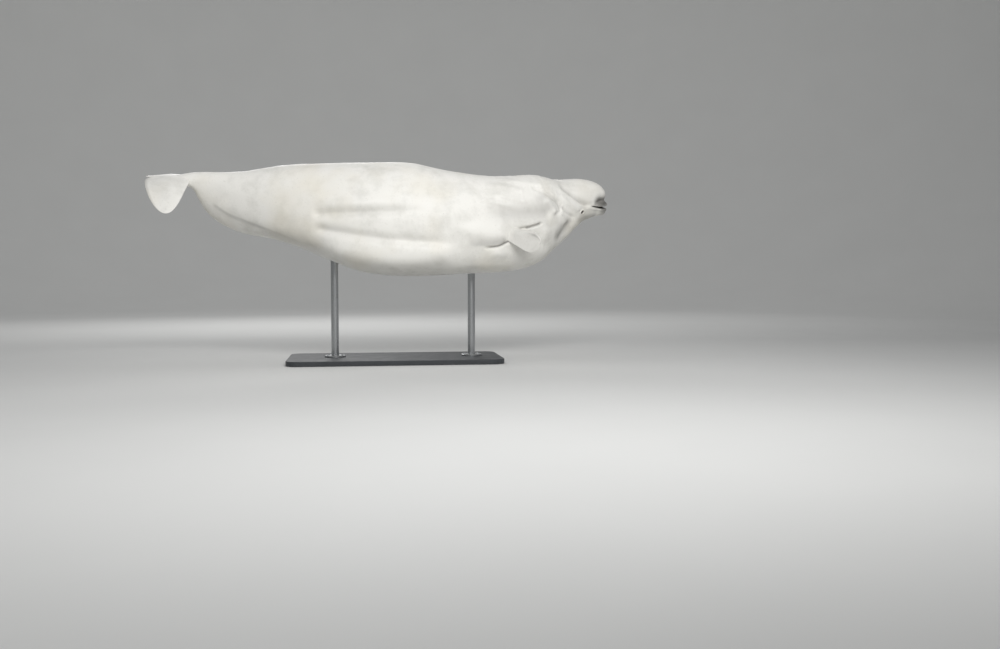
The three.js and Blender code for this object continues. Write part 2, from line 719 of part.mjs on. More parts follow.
nodes.stand_base = baseSolid();
for (const [name, x] of Object.entries(STAND.rods)) {
  nodes[`stand_flange_${name}`] = flangeSolid(x);
  const pieces = rodSolid(x).subtract(cleared).decompose();
  nodes[`stand_rod_${name}`] = pieces.find((piece) => piece.boundingBox().min[2] < STAND.base[2] * 2);
}

const materials = {
  skin: new THREE.MeshStandardMaterial({ color: COLOURS.skin, roughness: 0.45, metalness: 0 }),
  eye: new THREE.MeshStandardMaterial({ color: COLOURS.eye, roughness: 0.1, metalness: 0 }),
  base: new THREE.MeshStandardMaterial({ color: COLOURS.base, roughness: 0.5, metalness: 0 }),
  rod: new THREE.MeshStandardMaterial({ color: COLOURS.rod, roughness: 0.3, metalness: 1 }),
};
function materialOf(name) {
  if (name.startsWith('eye')) return materials.eye;
  if (name === 'stand_base') return materials.base;
  return name.startsWith('stand') ? materials.rod : materials.skin;
}

const whale = new THREE.Group();
for (const [name, made] of Object.entries(nodes)) {
  const mesh = new THREE.Mesh(geometryOf(made), materialOf(name));
  mesh.name = name;
  whale.add(mesh);
}

export default whale;
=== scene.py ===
import math

import bpy
import numpy as np
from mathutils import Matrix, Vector


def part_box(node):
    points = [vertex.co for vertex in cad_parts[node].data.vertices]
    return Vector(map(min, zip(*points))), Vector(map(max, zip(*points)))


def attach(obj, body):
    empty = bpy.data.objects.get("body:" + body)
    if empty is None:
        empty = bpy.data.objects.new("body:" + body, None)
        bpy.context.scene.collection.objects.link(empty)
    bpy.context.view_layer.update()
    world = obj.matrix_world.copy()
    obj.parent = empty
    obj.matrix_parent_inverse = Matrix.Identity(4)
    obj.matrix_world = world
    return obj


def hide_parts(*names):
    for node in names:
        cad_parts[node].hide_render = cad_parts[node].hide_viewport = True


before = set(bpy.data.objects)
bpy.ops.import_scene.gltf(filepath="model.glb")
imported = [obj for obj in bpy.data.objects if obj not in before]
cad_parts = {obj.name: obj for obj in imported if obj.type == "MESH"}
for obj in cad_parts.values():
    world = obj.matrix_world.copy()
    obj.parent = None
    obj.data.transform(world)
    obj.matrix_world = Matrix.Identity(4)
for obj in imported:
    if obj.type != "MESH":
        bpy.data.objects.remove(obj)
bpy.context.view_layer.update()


# Body of an adult beluga: a thick layer of blubber under bare skin, cast here in one piece.
# It is drawn straight along its own axis, in millimetres behind the beak tip, and then posed:
# the neck turns left and lifts, the tail twists, and rolls of blubber gather along the flank.

MM = 0.001
SNOUT_X = 1800  # beak tip, ahead of the middle of the stand's base
AXIS_HEIGHT = 1150  # body axis above the floor


# Each station holds the top line's (s, z), the widest line's (s, half width, z) and the bottom line's (s, z),
# then how square the upper and lower quarters are, across and upright: 0.71 is an ellipse.
def head(crown, flank, keel, brow, jowl=(0.78, 0.72)):
    """A slanted section of the head, with its three lines at different distances behind the beak."""
    return crown, flank, keel, brow, jowl


def ring(s, top, half, middle, bottom, upper=0.72, lower=0.76):
    """An upright section of the body, all at one distance s."""
    return (s, top), (s, half, middle), (s, bottom), (upper, upper), (lower, lower)


STATIONS = [
    head((0, 74), (0, 0, 74), (0, 74), (0.7, 0.7)),  # beak tip
    head((0, 96), (10, 50, 74), (2, 36), (0.88, 0.74)),
    head((6, 112), (36, 80, 75), (16, 2), (0.88, 0.78)),
    head((20, 126), (70, 99, 76), (54, -6), (0.98, 0.7)),  # crease under the melon
    head((17, 164), (104, 114, 78), (108, -10), (1.1, 0.6)),
    head((31, 216), (138, 129, 80), (158, -18), (1.1, 0.57)),
    head((71, 257), (172, 142, 82), (208, -33), (1.04, 0.58)),
    head((130, 283), (205, 154, 82), (254, -47), (0.98, 0.61)),  # corner of the mouth
    head((205, 300), (246, 168, 76), (296, -70), (0.92, 0.64)),
    head((280, 306), (290, 184, 66), (338, -106), (0.86, 0.66)),  # eye
    head((358, 304), (345, 204, 50), (378, -143), (0.81, 0.68)),
    head((432, 303), (412, 227, 36), (426, -196), (0.77, 0.7)),  # blowhole
    ring(510, 318, 253, 20, -268, 0.74, 0.74),
    ring(620, 347, 291, -4, -350, 0.73, 0.75),
    ring(770, 351, 322, -34, -408),
    ring(960, 346, 350, -52, -434, 0.72, 0.77),
    ring(1190, 364, 370, -54, -442, 0.72, 0.79),
    ring(1450, 398, 386, -46, -452, 0.72, 0.8),
    ring(1740, 434, 390, -34, -462, 0.72, 0.8),
    ring(2010, 424, 376, -20, -434, 0.72, 0.79),
    ring(2250, 420, 344, 8, -354, 0.72, 0.77),
    ring(2480, 412, 296, 48, -256, 0.72, 0.75),
    ring(2720, 398, 232, 96, -178, 0.72, 0.73),
    ring(2930, 366, 176, 128, -138, 0.71, 0.72),
    ring(3100, 350, 128, 158, -82, 0.71, 0.71),
    ring(3230, 348, 92, 196, 2, 0.71, 0.71),
    ring(3312, 345, 72, 236, 122, 0.71, 0.71),
    ring(3366, 339, 58, 266, 218, 0.71, 0.71),
    ring(3450, 322, 42, 281, 236, 0.71, 0.71),
    ring(3550, 302, 20, 290, 268, 0.71, 0.71),
    ring(3600, 292, 0, 292, 292),  # end of the tail stock, inside the flukes
]


def ease(x, low, high):
    """Runs smoothly from 0 at low to 1 at high."""
    u = np.clip((x - low) / (high - low), 0, 1)
    return u * u * (3 - 2 * u)


def run(values):
    """A smooth run through values at 0, 1, 2 and so on."""
    y = np.asarray(values, float)
    bend = np.eye(len(y)) * 4 + np.eye(len(y), k=1) + np.eye(len(y), k=-1)
    bend[0] = bend[-1] = 0
    bend[0, 0] = bend[-1, -1] = 1
    turn = np.zeros(len(y))
    turn[1:-1] = 6 * (y[2:] - 2 * y[1:-1] + y[:-2])
    m = np.linalg.solve(bend, turn)

    def at(t):
        i = np.clip(np.floor(t).astype(int), 0, len(y) - 2)
        b = t - i
        a = 1 - b
        return a * y[i] + b * y[i + 1] + ((a**3 - a) * m[i] + (b**3 - b) * m[i + 1]) / 6

    return at


BROW_PLACE = 0.42  # the brow guide's s, as a share of the way from the top line's to the widest line's


def guides():
    """Five lines along the body: top, brow, widest, jowl and bottom. Each has runs of s, y and z."""
    rows = []
    for crown, flank, keel, brow, jowl in STATIONS:
        brow_s = crown[0] + BROW_PLACE * (flank[0] - crown[0])
        s = [crown[0], brow_s, flank[0], (flank[0] + keel[0]) / 2, keel[0]]
        y = [0, flank[1] * brow[0], flank[1], flank[1] * jowl[0], 0]
        z = [
            crown[1],
            flank[2] + (crown[1] - flank[2]) * brow[1],
            flank[2],
            flank[2] + (keel[1] - flank[2]) * jowl[1],
            keel[1],
        ]
        rows.append((s, y, z))
    rows = np.array(rows)
    return [[run(rows[:, axis, k]) for k in range(5)] for axis in range(3)]


S_GUIDES, Y_GUIDES, Z_GUIDES = guides()


def round_curve(values, around, wave):
    """The smooth closed curve through five values, at 0, 45, 90, 135 and 180 degrees from the top."""
    ends = [0.5, 1, 1, 1, 0.5]
    total = 0
    for j in range(5):
        share = sum(values[k] * wave(j * k * math.pi / 4) * ends[k] for k in range(5)) / 2
        total = total + share * wave(j * around) * ends[j]
    return total


def plain_point(t, around):
    """A point of the smooth body, t stations back and around radians from the top towards the left side."""
    s = round_curve([g(t) for g in S_GUIDES], around, np.cos)
    y = round_curve([g(t) for g in Y_GUIDES], around, np.sin)
    z = round_curve([g(t) for g in Z_GUIDES], around, np.cos)
    return np.stack([s, y, z], -1)


def outward(t, around):
    """The way out of the smooth body, square to its surface."""
    step = 0.01
    along = plain_point(t + step, around) - plain_point(t - step, around)
    across = plain_point(t, around + step) - plain_point(t, around - step)
    out = np.cross(along, across)
    out[..., 0] -= 1e-6  # the beak's very tip looks straight ahead
    return out / np.linalg.norm(out, axis=-1, keepdims=True)


# Folds seen from the side, as paths of (s, z) drawn from front to back: how far each stands out, or sinks
# in where it is negative, its reach above and below the path, and how slowly its two ends fade.
FOLDS = {
    "over the beak": ([(-10, 130), (30, 136), (90, 132), (140, 116), (185, 104)], -26, (42, 16), (20, 70)),
    "under the melon": (
        [(170, 106), (225, 107), (266, 118), (359, 172), (433, 236), (505, 288)], -19, (28, 16), (90, 60),
    ),
    "cheek": ([(300, 60), (340, 80), (425, 130), (471, 168), (520, 208)], 13, (22, 20), (60, 60)),
    "behind the cheek": ([(350, 5), (396, 31), (472, 86), (523, 154), (557, 193)], -9, (14, 16), (50, 50)),
    "thin fold": ([(495, 142), (502, 108), (506, 73)], 6, (8, 8), (20, 20)),
    "throat bulge": ([(462, -24), (500, 25), (540, 85)], 13, (24, 24), (30, 30)),
    "behind the neck": ([(515, 60), (533, 145), (594, 203), (685, 256), (760, 275)], -17, (20, 20), (50, 60)),
    "neck roll": ([(575, 60), (612, 130), (660, 198)], 19, (28, 28), (40, 40)),
    "throat": ([(400, 20), (475, -73), (540, -185)], -12, (30, 40), (60, 60)),
    "shoulder hollow": ([(590, 70), (709, 82), (868, 75), (1008, 70), (1150, 50)], -20, (50, 44), (90, 160)),
    "first shoulder fold": ([(610, 285), (800, 302), (1010, 322)], 9, (20, 16), (60, 120)),
    "second shoulder fold": ([(790, 236), (930, 262), (1120, 282)], 9, (20, 16), (60, 120)),
    "third shoulder fold": ([(790, 148), (930, 182), (1090, 204)], 10, (22, 18), (50, 120)),
    "fourth shoulder fold": ([(900, 108), (1060, 140), (1180, 152)], 8, (20, 18), (60, 80)),
    "shoulder roll": ([(950, -118), (1100, -118), (1230, -100), (1450, -50)], 22, (76, 56), (60, 300)),
    "behind the flipper": ([(940, -146), (1005, -198), (1065, -216), (1135, -232)], -18, (14, 9), (40, 60)),
    "below the armpit": ([(920, -225), (1000, -258), (1130, -272)], 12, (34, 40), (60, 120)),
    "before the flipper": ([(680, 6), (744, -20), (829, -47), (890, -62)], -17, (14, 8), (40, 40)),
    "chest": ([(645, -20), (665, -90), (695, -170)], 11, (40, 40), (60, 60)),
    "over the upper groove": ([(1800, 112), (2100, 112), (2430, 100)], 10, (46, 34), (260, 120)),
    "upper groove": ([(1500, 62), (1924, 50), (2150, 40), (2300, 34), (2450, 32)], -21, (32, 36), (420, 70)),
    "lower groove": (
        [(1280, -190), (1420, -192), (1769, -174), (2000, -150), (2187, -124), (2303, -106), (2450, -76)],
        -27, (42, 34), (300, 90),
    ),
    "belly roll": (
        [(1300, -262), (1464, -285), (1697, -308), (1999, -296), (2305, -232), (2470, -165)],
        34, (84, 84), (150, 300),
    ),
    "edge of the rump": (
        [(2345, -240), (2538, -165), (2733, -80), (2929, 4), (3081, 62), (3215, 146)],
        11, (70, 24), (200, 60),
    ),
    "middle of the flank": ([(1240, -60), (1400, 0), (1560, 50)], 8, (70, 60), (150, 150)),
}
FOLD_STEPS = 18  # straight pieces that a path is measured by


def path_distance(s, z, path):
    """Each point's distance to a path seen from the side, its place along it, and whether it is above."""
    place = np.linspace(0, len(path) - 1, FOLD_STEPS + 1)
    x = run([p[0] for p in path])(place)
    y = run([p[1] for p in path])(place)
    length = np.concatenate([[0], np.cumsum(np.hypot(np.diff(x), np.diff(y)))])
    best = np.full(s.shape, np.inf)
    along = np.zeros(s.shape)
    above = np.zeros(s.shape, bool)
    for i in range(FOLD_STEPS):
        dx, dy = x[i + 1] - x[i], y[i + 1] - y[i]
        u = np.clip(((s - x[i]) * dx + (z - y[i]) * dy) / (dx * dx + dy * dy), 0, 1)
        distance = np.hypot(s - x[i] - u * dx, z - y[i] - u * dy)
        nearer = distance < best
        best[nearer] = distance[nearer]
        along[nearer] = (length[i] + u * (length[i + 1] - length[i]))[nearer]
        above[nearer] = (dx * (z - y[i]) - dy * (s - x[i]) > 0)[nearer]
    return best, along, length[-1], above


def stroke(s, z, path, spread, fade):
    """One along a path seen from the side, fading to nothing to both sides and at its ends."""
    distance, along, length, above = path_distance(s, z, path)
    ends = ease(along, 0, fade[0]) * ease(length - along, 0, fade[1])
    return np.exp(-((distance / np.where(above, spread[0], spread[1])) ** 2)) * ends


def fold_rise(s, z):
    """How far all the folds together lift the skin."""
    return sum(height * stroke(s, z, path, spread, fade) for path, height, spread, fade in FOLDS.values())


# Painted shade: grey laid into the skin's colour where shade falls, strongest in the recess under the melon,
# on the beak, the lips and the front of the jaw and in the creases at the flipper, and fainter in the other
# creases and hollows, on the throat and chin and under the rump. On the beak, the lips and the front of the
# jaw it is partly real darker skin and partly painted shade. Paths as for the folds, with the share of grey
# on each.
PAINTED_SHADE_AND_DARK_SKIN = {
    "recess": ([(-10, 136), (60, 141), (120, 147), (185, 152)], 0.85, (34, 34), (10, 70)),
    "beak": ([(-10, 108), (60, 110), (130, 114), (195, 112)], 0.8, (26, 26), (10, 80)),
    "lips": ([(-10, 66), (60, 66), (110, 70)], 0.8, (22, 20), (10, 60)),
    "front of the jaw": ([(-10, 40), (60, 34), (130, 30)], 0.64, (28, 40), (10, 90)),
    "chin": ([(100, 22), (192, 10), (303, 4), (360, -20)], 0.38, (26, 50), (50, 60)),
    "throat": ([(400, 24), (444, 0), (503, -52), (545, -120), (580, -180)], 0.45, (46, 62), (70, 90)),
    "shoulder": ([(600, 80), (670, 165), (730, 240)], 0.2, (60, 60), (60, 60)),
    "shoulder hollow": ([(620, 60), (709, 75), (868, 66), (1008, 55), (1150, 40)], 0.25, (60, 60), (60, 200)),
    "behind the neck": ([(515, 70), (533, 145), (594, 203), (670, 250)], 0.18, (18, 18), (50, 60)),
    "under the melon": (
        [(225, 107), (266, 118), (359, 172), (433, 236), (505, 288)], 0.27, (20, 10), (40, 60),
    ),
    "behind the cheek": ([(380, 25), (472, 86), (523, 154)], 0.18, (12, 12), (40, 40)),
    "behind the flipper": ([(940, -146), (1005, -198), (1065, -216), (1120, -229)], 0.75, (8, 6), (10, 60)),
    "under the shoulder roll": (
        [(960, -140), (1050, -180), (1180, -200), (1280, -195)], 0.26, (40, 16), (30, 130),
    ),
    "before the flipper": ([(690, 2), (744, -20), (829, -47)], 0.6, (12, 6), (30, 20)),
    "upper groove": ([(1700, 58), (2150, 42), (2450, 32)], 0.1, (34, 34), (300, 60)),
    "lower groove": ([(1700, -180), (2000, -150), (2187, -124), (2450, -76)], 0.1, (34, 34), (300, 60)),
    "under the rump": ([(3180, 70), (2927, -45), (2535, -200), (2250, -290)], 0.16, (50, 110), (120, 200)),
}


def shade(s, z):
    """The share of grey where all the paths are laid over one another: painted shade, partly real darker skin
    on the beak and lips.
    """
    total = 0
    for path, depth, spread, fade in PAINTED_SHADE_AND_DARK_SKIN.values():
        total = 1 - (1 - total) * (1 - depth * stroke(s, z, path, spread, fade))
    return total


# The low ridge along the back, which has no fin. Half is half its width, by the sine of half the angle
# from the top.
RIDGE = {"start": 1300, "end": 2950, "fades": (550, 500), "rise": 16, "half": 0.16}


def ridge_rise(s, around):
    ends = ease(s - RIDGE["start"], 0, RIDGE["fades"][0]) * ease(RIDGE["end"] - s, 0, RIDGE["fades"][1])
    return RIDGE["rise"] * np.exp(-((np.sin(around / 2) / RIDGE["half"]) ** 2)) * ends


# Lips along the line of the mouth, parted a little at the front.
MOUTH = {
    "path": [(-30, 66), (20, 68), (70, 71), (120, 79), (170, 91), (208, 101)],
    "depth": 28, "front": 12, "corner": 3, "fade": 60,
}
LIP = {"rise": 6, "away": 20, "spread": 10}


def mouth_rise(s, z):
    """The slit of the mouth, which narrows to its corner, and the lips beside it."""
    distance, along, length, above = path_distance(s, z, MOUTH["path"])
    share = np.clip(along / length, 0, 1)
    half = MOUTH["front"] + (MOUTH["corner"] - MOUTH["front"]) * share
    ends = ease(length - along, 0, MOUTH["fade"])
    slit = -MOUTH["depth"] * np.exp(-((distance / half) ** 4)) * ends
    lips = LIP["rise"] * np.exp(-(((distance - LIP["away"]) / LIP["spread"]) ** 2)) * ends
    return slit, lips


# Lids round a small almond-shaped opening, in a low swelling with a furrow round it.
EYE = {"s": 299, "z": 60, "long": 19, "high": 14, "slant": -14, "depth": 20, "edge": (0.72, 1.08)}
SWELLING = {"rise": 6, "reach": 28, "stretch": 1.35, "furrow": 1.5, "furrow_away": 36, "furrow_half": 9}
# Where the lids and the crease over them lie, and their half widths, are shares of the opening's own size.
LID = {"rise": 2.6, "more_above": 1.6, "above": (-6, 8), "away": 1.25, "half": 0.34}
LID_CREASE = {"sink": 2, "above": (-2, 12), "away": 1.9, "half": 0.2}


def eye_rise(s, z):
    """The lids and the skin round them, and the opening between them."""
    slant = math.radians(EYE["slant"])
    u = (s - EYE["s"]) * math.cos(slant) + (z - EYE["z"]) * math.sin(slant)
    v = -(s - EYE["s"]) * math.sin(slant) + (z - EYE["z"]) * math.cos(slant)
    from_middle = np.hypot(u / SWELLING["stretch"], v)
    almond = np.hypot(u / EYE["long"], v / EYE["high"])
    swelling = SWELLING["rise"] * np.exp(-((from_middle / SWELLING["reach"]) ** 2))
    furrow = np.exp(-(((from_middle - SWELLING["furrow_away"]) / SWELLING["furrow_half"]) ** 2))
    lids = LID["rise"] + LID["more_above"] * ease(v, *LID["above"])
    lids = lids * np.exp(-(((almond - LID["away"]) / LID["half"]) ** 2))
    crease = np.exp(-(((almond - LID_CREASE["away"]) / LID_CREASE["half"]) ** 2))
    crease = -LID_CREASE["sink"] * crease * ease(v, *LID_CREASE["above"])
    opening = -EYE["depth"] * (1 - ease(almond, *EYE["edge"]))
    return swelling - SWELLING["furrow"] * furrow + lids + crease, opening


# The blowhole, a crescent on the crown just left of the middle, with raised rims.
BLOWHOLE = {
    "s": 452, "y": 6, "over": 200, "half": 34, "bow": -18, "slit": 3.6, "depth": 13, "ends": (0.75, 1.05),
    "rim": 5, "rim_away": 10, "rim_half": 9, "rim_ends": (0.9, 1.5),
}


def blowhole_rise(s, y, z):
    """The blowhole's slit and its rims."""
    v = (y - BLOWHOLE["y"]) / BLOWHOLE["half"]
    off = np.abs(s - BLOWHOLE["s"] - BLOWHOLE["bow"] * v * v)
    within = (1 - ease(np.abs(v), *BLOWHOLE["ends"])) * (z > BLOWHOLE["over"])
    around = (1 - ease(np.abs(v), *BLOWHOLE["rim_ends"])) * (z > BLOWHOLE["over"])
    rim = BLOWHOLE["rim"] * np.exp(-(((off - BLOWHOLE["rim_away"]) / BLOWHOLE["rim_half"]) ** 2)) * around
    return -BLOWHOLE["depth"] * np.exp(-((off / BLOWHOLE["slit"]) ** 4)) * within, rim


# Slow unevenness of the blubber, and the fine wrinkles that ring the neck: each stands out by rise and is
# about size across. The wrinkles are narrow along the body and long around it.
LUMPS = {"rise": 5, "size": 240, "grows": (300, 900)}
DIMPLES = {"rise": 1.6, "size": 70, "grows": (100, 500)}
WRINKLES = {"rise": 1.3, "size": 110, "narrow": 6.5, "grows": (380, 520), "fades": (900, 1300)}
GRAIN_SHIFT = 17.31  # how far apart the noise of two seeds is taken
GRAIN_MIX = (73856093, 19349663, 83492791, 2654435)  # large odd numbers that scramble a place and the seed
GRAIN_STIR = (1103515245, 12345)
GRAIN_LEVELS = 4096


def grain(p, size, seed):
    """Smooth noise from -1 to 1 whose lumps are about size across."""
    q = p / size + seed * GRAIN_SHIFT
    cell = np.floor(q).astype(np.int64)
    u = q - cell
    u = u * u * (3 - 2 * u)
    total = 0
    for corner in range(8):
        step = np.array([corner & 1, corner >> 1 & 1, corner >> 2 & 1])
        x, y, z = np.moveaxis(cell + step, -1, 0)
        key = (x * GRAIN_MIX[0]) ^ (y * GRAIN_MIX[1]) ^ (z * GRAIN_MIX[2]) ^ (seed * GRAIN_MIX[3])
        level = ((key * GRAIN_STIR[0] + GRAIN_STIR[1]) >> 8) % GRAIN_LEVELS
        value = level / ((GRAIN_LEVELS - 1) / 2) - 1
        weight = np.prod(np.where(step == 1, u, 1 - u), axis=-1)
        total = total + value * weight
    return total


# How far folds and painted shade fade towards the top and bottom lines, by the sine of the angle from the
# top.
FOLD_FADE = 0.5
PAINTED_SHADE_FADE = (0.2, 0.6)


def skin_points(t, around):
    """Points on the skin, with their share of painted shade and how deep in the mouth, blowhole or an eye's
    opening.
    """
    p = plain_point(t, around)
    out = outward(t, around)
    s, y, z = p[..., 0], p[..., 1], p[..., 2]
    sides = np.abs(np.sin(around)) ** FOLD_FADE
    folds = fold_rise(s, z) * sides
    slit, lips = mouth_rise(s, z)
    lids, opening = eye_rise(s, z)
    hole, rim = blowhole_rise(s, y, z)
    lumps = LUMPS["rise"] * grain(p, LUMPS["size"], 1) * ease(s, *LUMPS["grows"])
    dimples = DIMPLES["rise"] * grain(p, DIMPLES["size"], 2) * ease(s, *DIMPLES["grows"])
    wrinkles = WRINKLES["rise"] * grain(p * [WRINKLES["narrow"], 1, 1], WRINKLES["size"], 3)
    wrinkles = wrinkles * ease(s, *WRINKLES["grows"]) * (1 - ease(s, *WRINKLES["fades"]))
    rise = folds + slit + lips + lids + opening + hole + rim + lumps + dimples + wrinkles
    rise = rise + ridge_rise(s, around)
    # The depths in the mouth or blowhole and in an eye's opening both darken the skin with painted shade.
    inside = np.clip(np.maximum(-slit / MOUTH["depth"], -hole / BLOWHOLE["depth"]), 0, 1)
    socket = np.clip(-opening / EYE["depth"], 0, 1)
    # Painted shade, partly real darker skin on the beak and lips.
    painted_shade_share = shade(s, z) * ease(sides, *PAINTED_SHADE_FADE)
    return p + out * rise[..., None], np.stack([painted_shade_share, inside, socket], -1)


# Turn is to the whale's left, pitch lifts the head and roll lowers the right side, all in degrees, between
# distances behind the beak.
POSE = {
    "turn": {"head": 13, "head_end": 510, "neck_end": 1250, "tail_start": 2300, "tail_end": 3500, "tail": 9},
    "pitch": {"head": 4, "head_end": 510, "neck_end": 1250},
    "roll": {
        "head": 10, "head_end": 510, "neck_end": 1250, "middle": 2,
        "tail_start": 2250, "tail_end": 3400, "tail": 19,
    },
    "roll_axis": {"front": 40, "tail": 300},
}


def neck_share(s, bend):
    return bend["head"] * (1 - ease(s, bend["head_end"], bend["neck_end"]))


def turn_at(s):
    bend = POSE["turn"]
    return np.radians(neck_share(s, bend) + bend["tail"] * ease(s, bend["tail_start"], bend["tail_end"]))


def pitch_at(s):
    return np.radians(neck_share(s, POSE["pitch"]))


def roll_at(s):
    bend = POSE["roll"]
    tail = (bend["tail"] - bend["middle"]) * ease(s, bend["tail_start"], bend["tail_end"])
    return np.radians(bend["middle"] + neck_share(s, bend) + tail)


def forward_at(s):
    turn, pitch = turn_at(s), pitch_at(s)
    return np.stack([np.cos(turn) * np.cos(pitch), np.sin(turn) * np.cos(pitch), np.sin(pitch)], -1)


# The bent axis, walked in short steps from ahead of the beak to behind the flukes.
AXIS_STEP = 5
AXIS_S = np.arange(-200, 4200, AXIS_STEP, dtype=float)
AXIS_STEPS = -AXIS_STEP * forward_at(AXIS_S[:-1] + AXIS_STEP / 2)
AXIS_WALK = np.concatenate([np.zeros((1, 3)), np.cumsum(AXIS_STEPS, axis=0)])
AXIS_WALK -= AXIS_WALK[np.searchsorted(AXIS_S, SNOUT_X)]


def posed(p):
    """Carries points from the straight body to the posed one, in metres."""
    s, y, z = p[..., 0], p[..., 1], p[..., 2]
    forward = forward_at(s)
    left = np.cross([0, 0, 1], forward)
    left /= np.linalg.norm(left, axis=-1, keepdims=True)
    up = np.cross(forward, left)
    roll = roll_at(s)
    front, tail = POSE["roll_axis"]["front"], POSE["roll_axis"]["tail"]
    middle = front + (tail - front) * ease(s, POSE["roll"]["tail_start"], POSE["roll"]["tail_end"])
    side = y * np.cos(roll) - (z - middle) * np.sin(roll)
    height = middle + y * np.sin(roll) + (z - middle) * np.cos(roll)
    axis = np.stack([np.interp(s, AXIS_S, AXIS_WALK[:, k]) for k in range(3)], -1)
    axis[..., 2] += AXIS_HEIGHT
    return (axis + left * side[..., None] + up * height[..., None]) * MM


# The skin's rings lie closest on the head, and from there to the armpits each has twice the points.
RING_SPACING = [(0, 2.2), (450, 2.6), (560, 4.2), (1150, 4.5), (1300, 11), (3000, 11), (3300, 7), (3600, 7)]
HEAD_SIDES = 640
BODY_SIDES = HEAD_SIDES // 2
HEAD_END = 1220
CROWDING = {"share": 0.45, "fades": (300, 1200)}  # how much closer the points lie at the flanks of the head
BODY_ENDS = (0.03, 0.12)  # stations left out at the beak's tip and, inside the flukes, at the tail's end
FINE_STEPS = 20000


def ring_places():
    """Where the rings lie along the body, spaced by the longest of its guides."""
    fine = np.linspace(0, len(STATIONS) - 1, FINE_STEPS + 1)
    s = S_GUIDES[2](fine)
    upright = [np.hypot(np.diff(g(fine)), np.diff(h(fine))) for g, h in zip(S_GUIDES, Z_GUIDES)]
    span = np.maximum(np.maximum.reduce(upright), np.hypot(np.diff(s), np.diff(Y_GUIDES[2](fine))))
    spacing = np.interp((s[1:] + s[:-1]) / 2, *zip(*RING_SPACING))
    count = np.concatenate([[0], np.cumsum(span / spacing)])
    return np.interp(np.linspace(0, count[-1], int(count[-1]) + 1)[1:-1], count, fine)


def body_mesh():
    """The straight body as rings of points and their marks, with a fan at each end and one joining seam."""
    places = ring_places()
    places = places[(places > BODY_ENDS[0]) & (places < len(STATIONS) - 1 - BODY_ENDS[1])]
    is_head = S_GUIDES[2](places) < HEAD_END
    points, marks, faces = [], [], []
    start = 0
    for chosen, sides in ((places[is_head], HEAD_SIDES), (places[~is_head], BODY_SIDES)):
        t = chosen[:, None] + np.zeros(sides)
        turn = np.arange(sides) / sides * 2 * math.pi
        crowding = CROWDING["share"] * (1 - ease(S_GUIDES[2](chosen), *CROWDING["fades"]))[:, None]
        around = turn + crowding * np.sin(2 * turn) / 2
        p, mark = skin_points(t, around)
        points.append(p.reshape(-1, 3))
        marks.append(mark.reshape(-1, 3))
        i, j = np.meshgrid(np.arange(len(chosen) - 1), np.arange(sides), indexing="ij")
        k = (j + 1) % sides
        quads = np.stack([i * sides + j, (i + 1) * sides + j, (i + 1) * sides + k, i * sides + k], -1)
        faces += (start + quads.reshape(-1, 4)).tolist()
        start += len(chosen) * sides
    seam = len(points[0]) - HEAD_SIDES
    after = len(points[0])
    for j in range(BODY_SIDES):
        a, b, c = (seam + (2 * j + k) % HEAD_SIDES for k in range(3))
        d, e = after + j, after + (j + 1) % BODY_SIDES
        faces += [(a, d, b), (b, d, e), (b, e, c)]
    points, marks = np.concatenate(points), np.concatenate(marks)
    ends = [points[:HEAD_SIDES].mean(0), points[-BODY_SIDES:].mean(0)]
    points = np.concatenate([points, ends])
    # The point at the beak's tip is darkened with the mouth's painted shade, the one at the tail's end not at
    # all.
    marks = np.concatenate([marks, [[0, 1, 0], [0, 0, 0]]])
    for j in range(HEAD_SIDES):
        faces.append((j, (j + 1) % HEAD_SIDES, len(points) - 2))
    tail = len(points) - 2 - BODY_SIDES
    for j in range(BODY_SIDES):
        faces.append((tail + (j + 1) % BODY_SIDES, tail + j, len(points) - 1))
    return points, marks, faces


def mesh_object(name, points, faces, marks=None):
    """Makes an object of points in metres. Each mark is a value kept on every point."""
    mesh = bpy.data.meshes.new(name)
    mesh.from_pydata(points.tolist(), [], faces)
    mesh.update()
    for mark, values in (marks or {}).items():
        layer = mesh.attributes.new(mark, "FLOAT", "POINT")
        layer.data.foreach_set("value", np.broadcast_to(values, len(points)).astype(np.float32))
    made = bpy.data.objects.new(name, mesh)
    bpy.context.scene.collection.objects.link(made)
    return made


# Marks are kept on every point: the share of grey, which is painted shade but for real darker skin
# partly on the beak and lips and along the flukes' rear edges; how deep it lies in the mouth or blowhole and
# how deep in an eye's opening, both also darkening it with painted shade; and whether it is on a limb.
straight, body_marks, body_faces = body_mesh()
skin_marks = {"shade": body_marks[:, 0], "inside": body_marks[:, 1], "socket": body_marks[:, 2], "limb": 0}
skin = mesh_object("beluga_skin", posed(straight), body_faces, skin_marks)


# Flippers and flukes: stiff paddles under the same bare skin as the body, cast in one piece with it.
# Each is lofted from rounded sections, thick in front and thin behind, and let into the blubber.

# Chords are the blade's widths from root to tip. Taper, least and rear are shares of its thickness, bend is
# where its tip starts to round off, and curl is how far the front edge lifts. What starts and ends along the
# blade is given in shares of its length, and across it from -1 at the rear edge to 1 in front.
FLIPPER = {
    "chords": [112, 122, 142, 174, 180], "thick": 58, "taper": 0.72, "least": 0.3, "rear": 0.25,
    "thins_across": (-1, 0.6), "twists": (0.15, 0.8), "bend": 0.62, "end": 0.985,
    "curl": 13, "curl_across": (0.1, 1), "curl_starts": (0.3, 0.7), "curl_ends": (0.8, 1),
    # Grey is painted shade laid over the blade beyond its root; the second grey, near the front edge, is a
    # painted shadow under its curl.
    "grey": 0.2, "painted_shade_starts": (0.2, 0.4),
    "curl_painted_shadow": 0.3, "edge_across": 0.72, "edge_half": 0.13, "edge_starts": (0.5, 0.8),
}
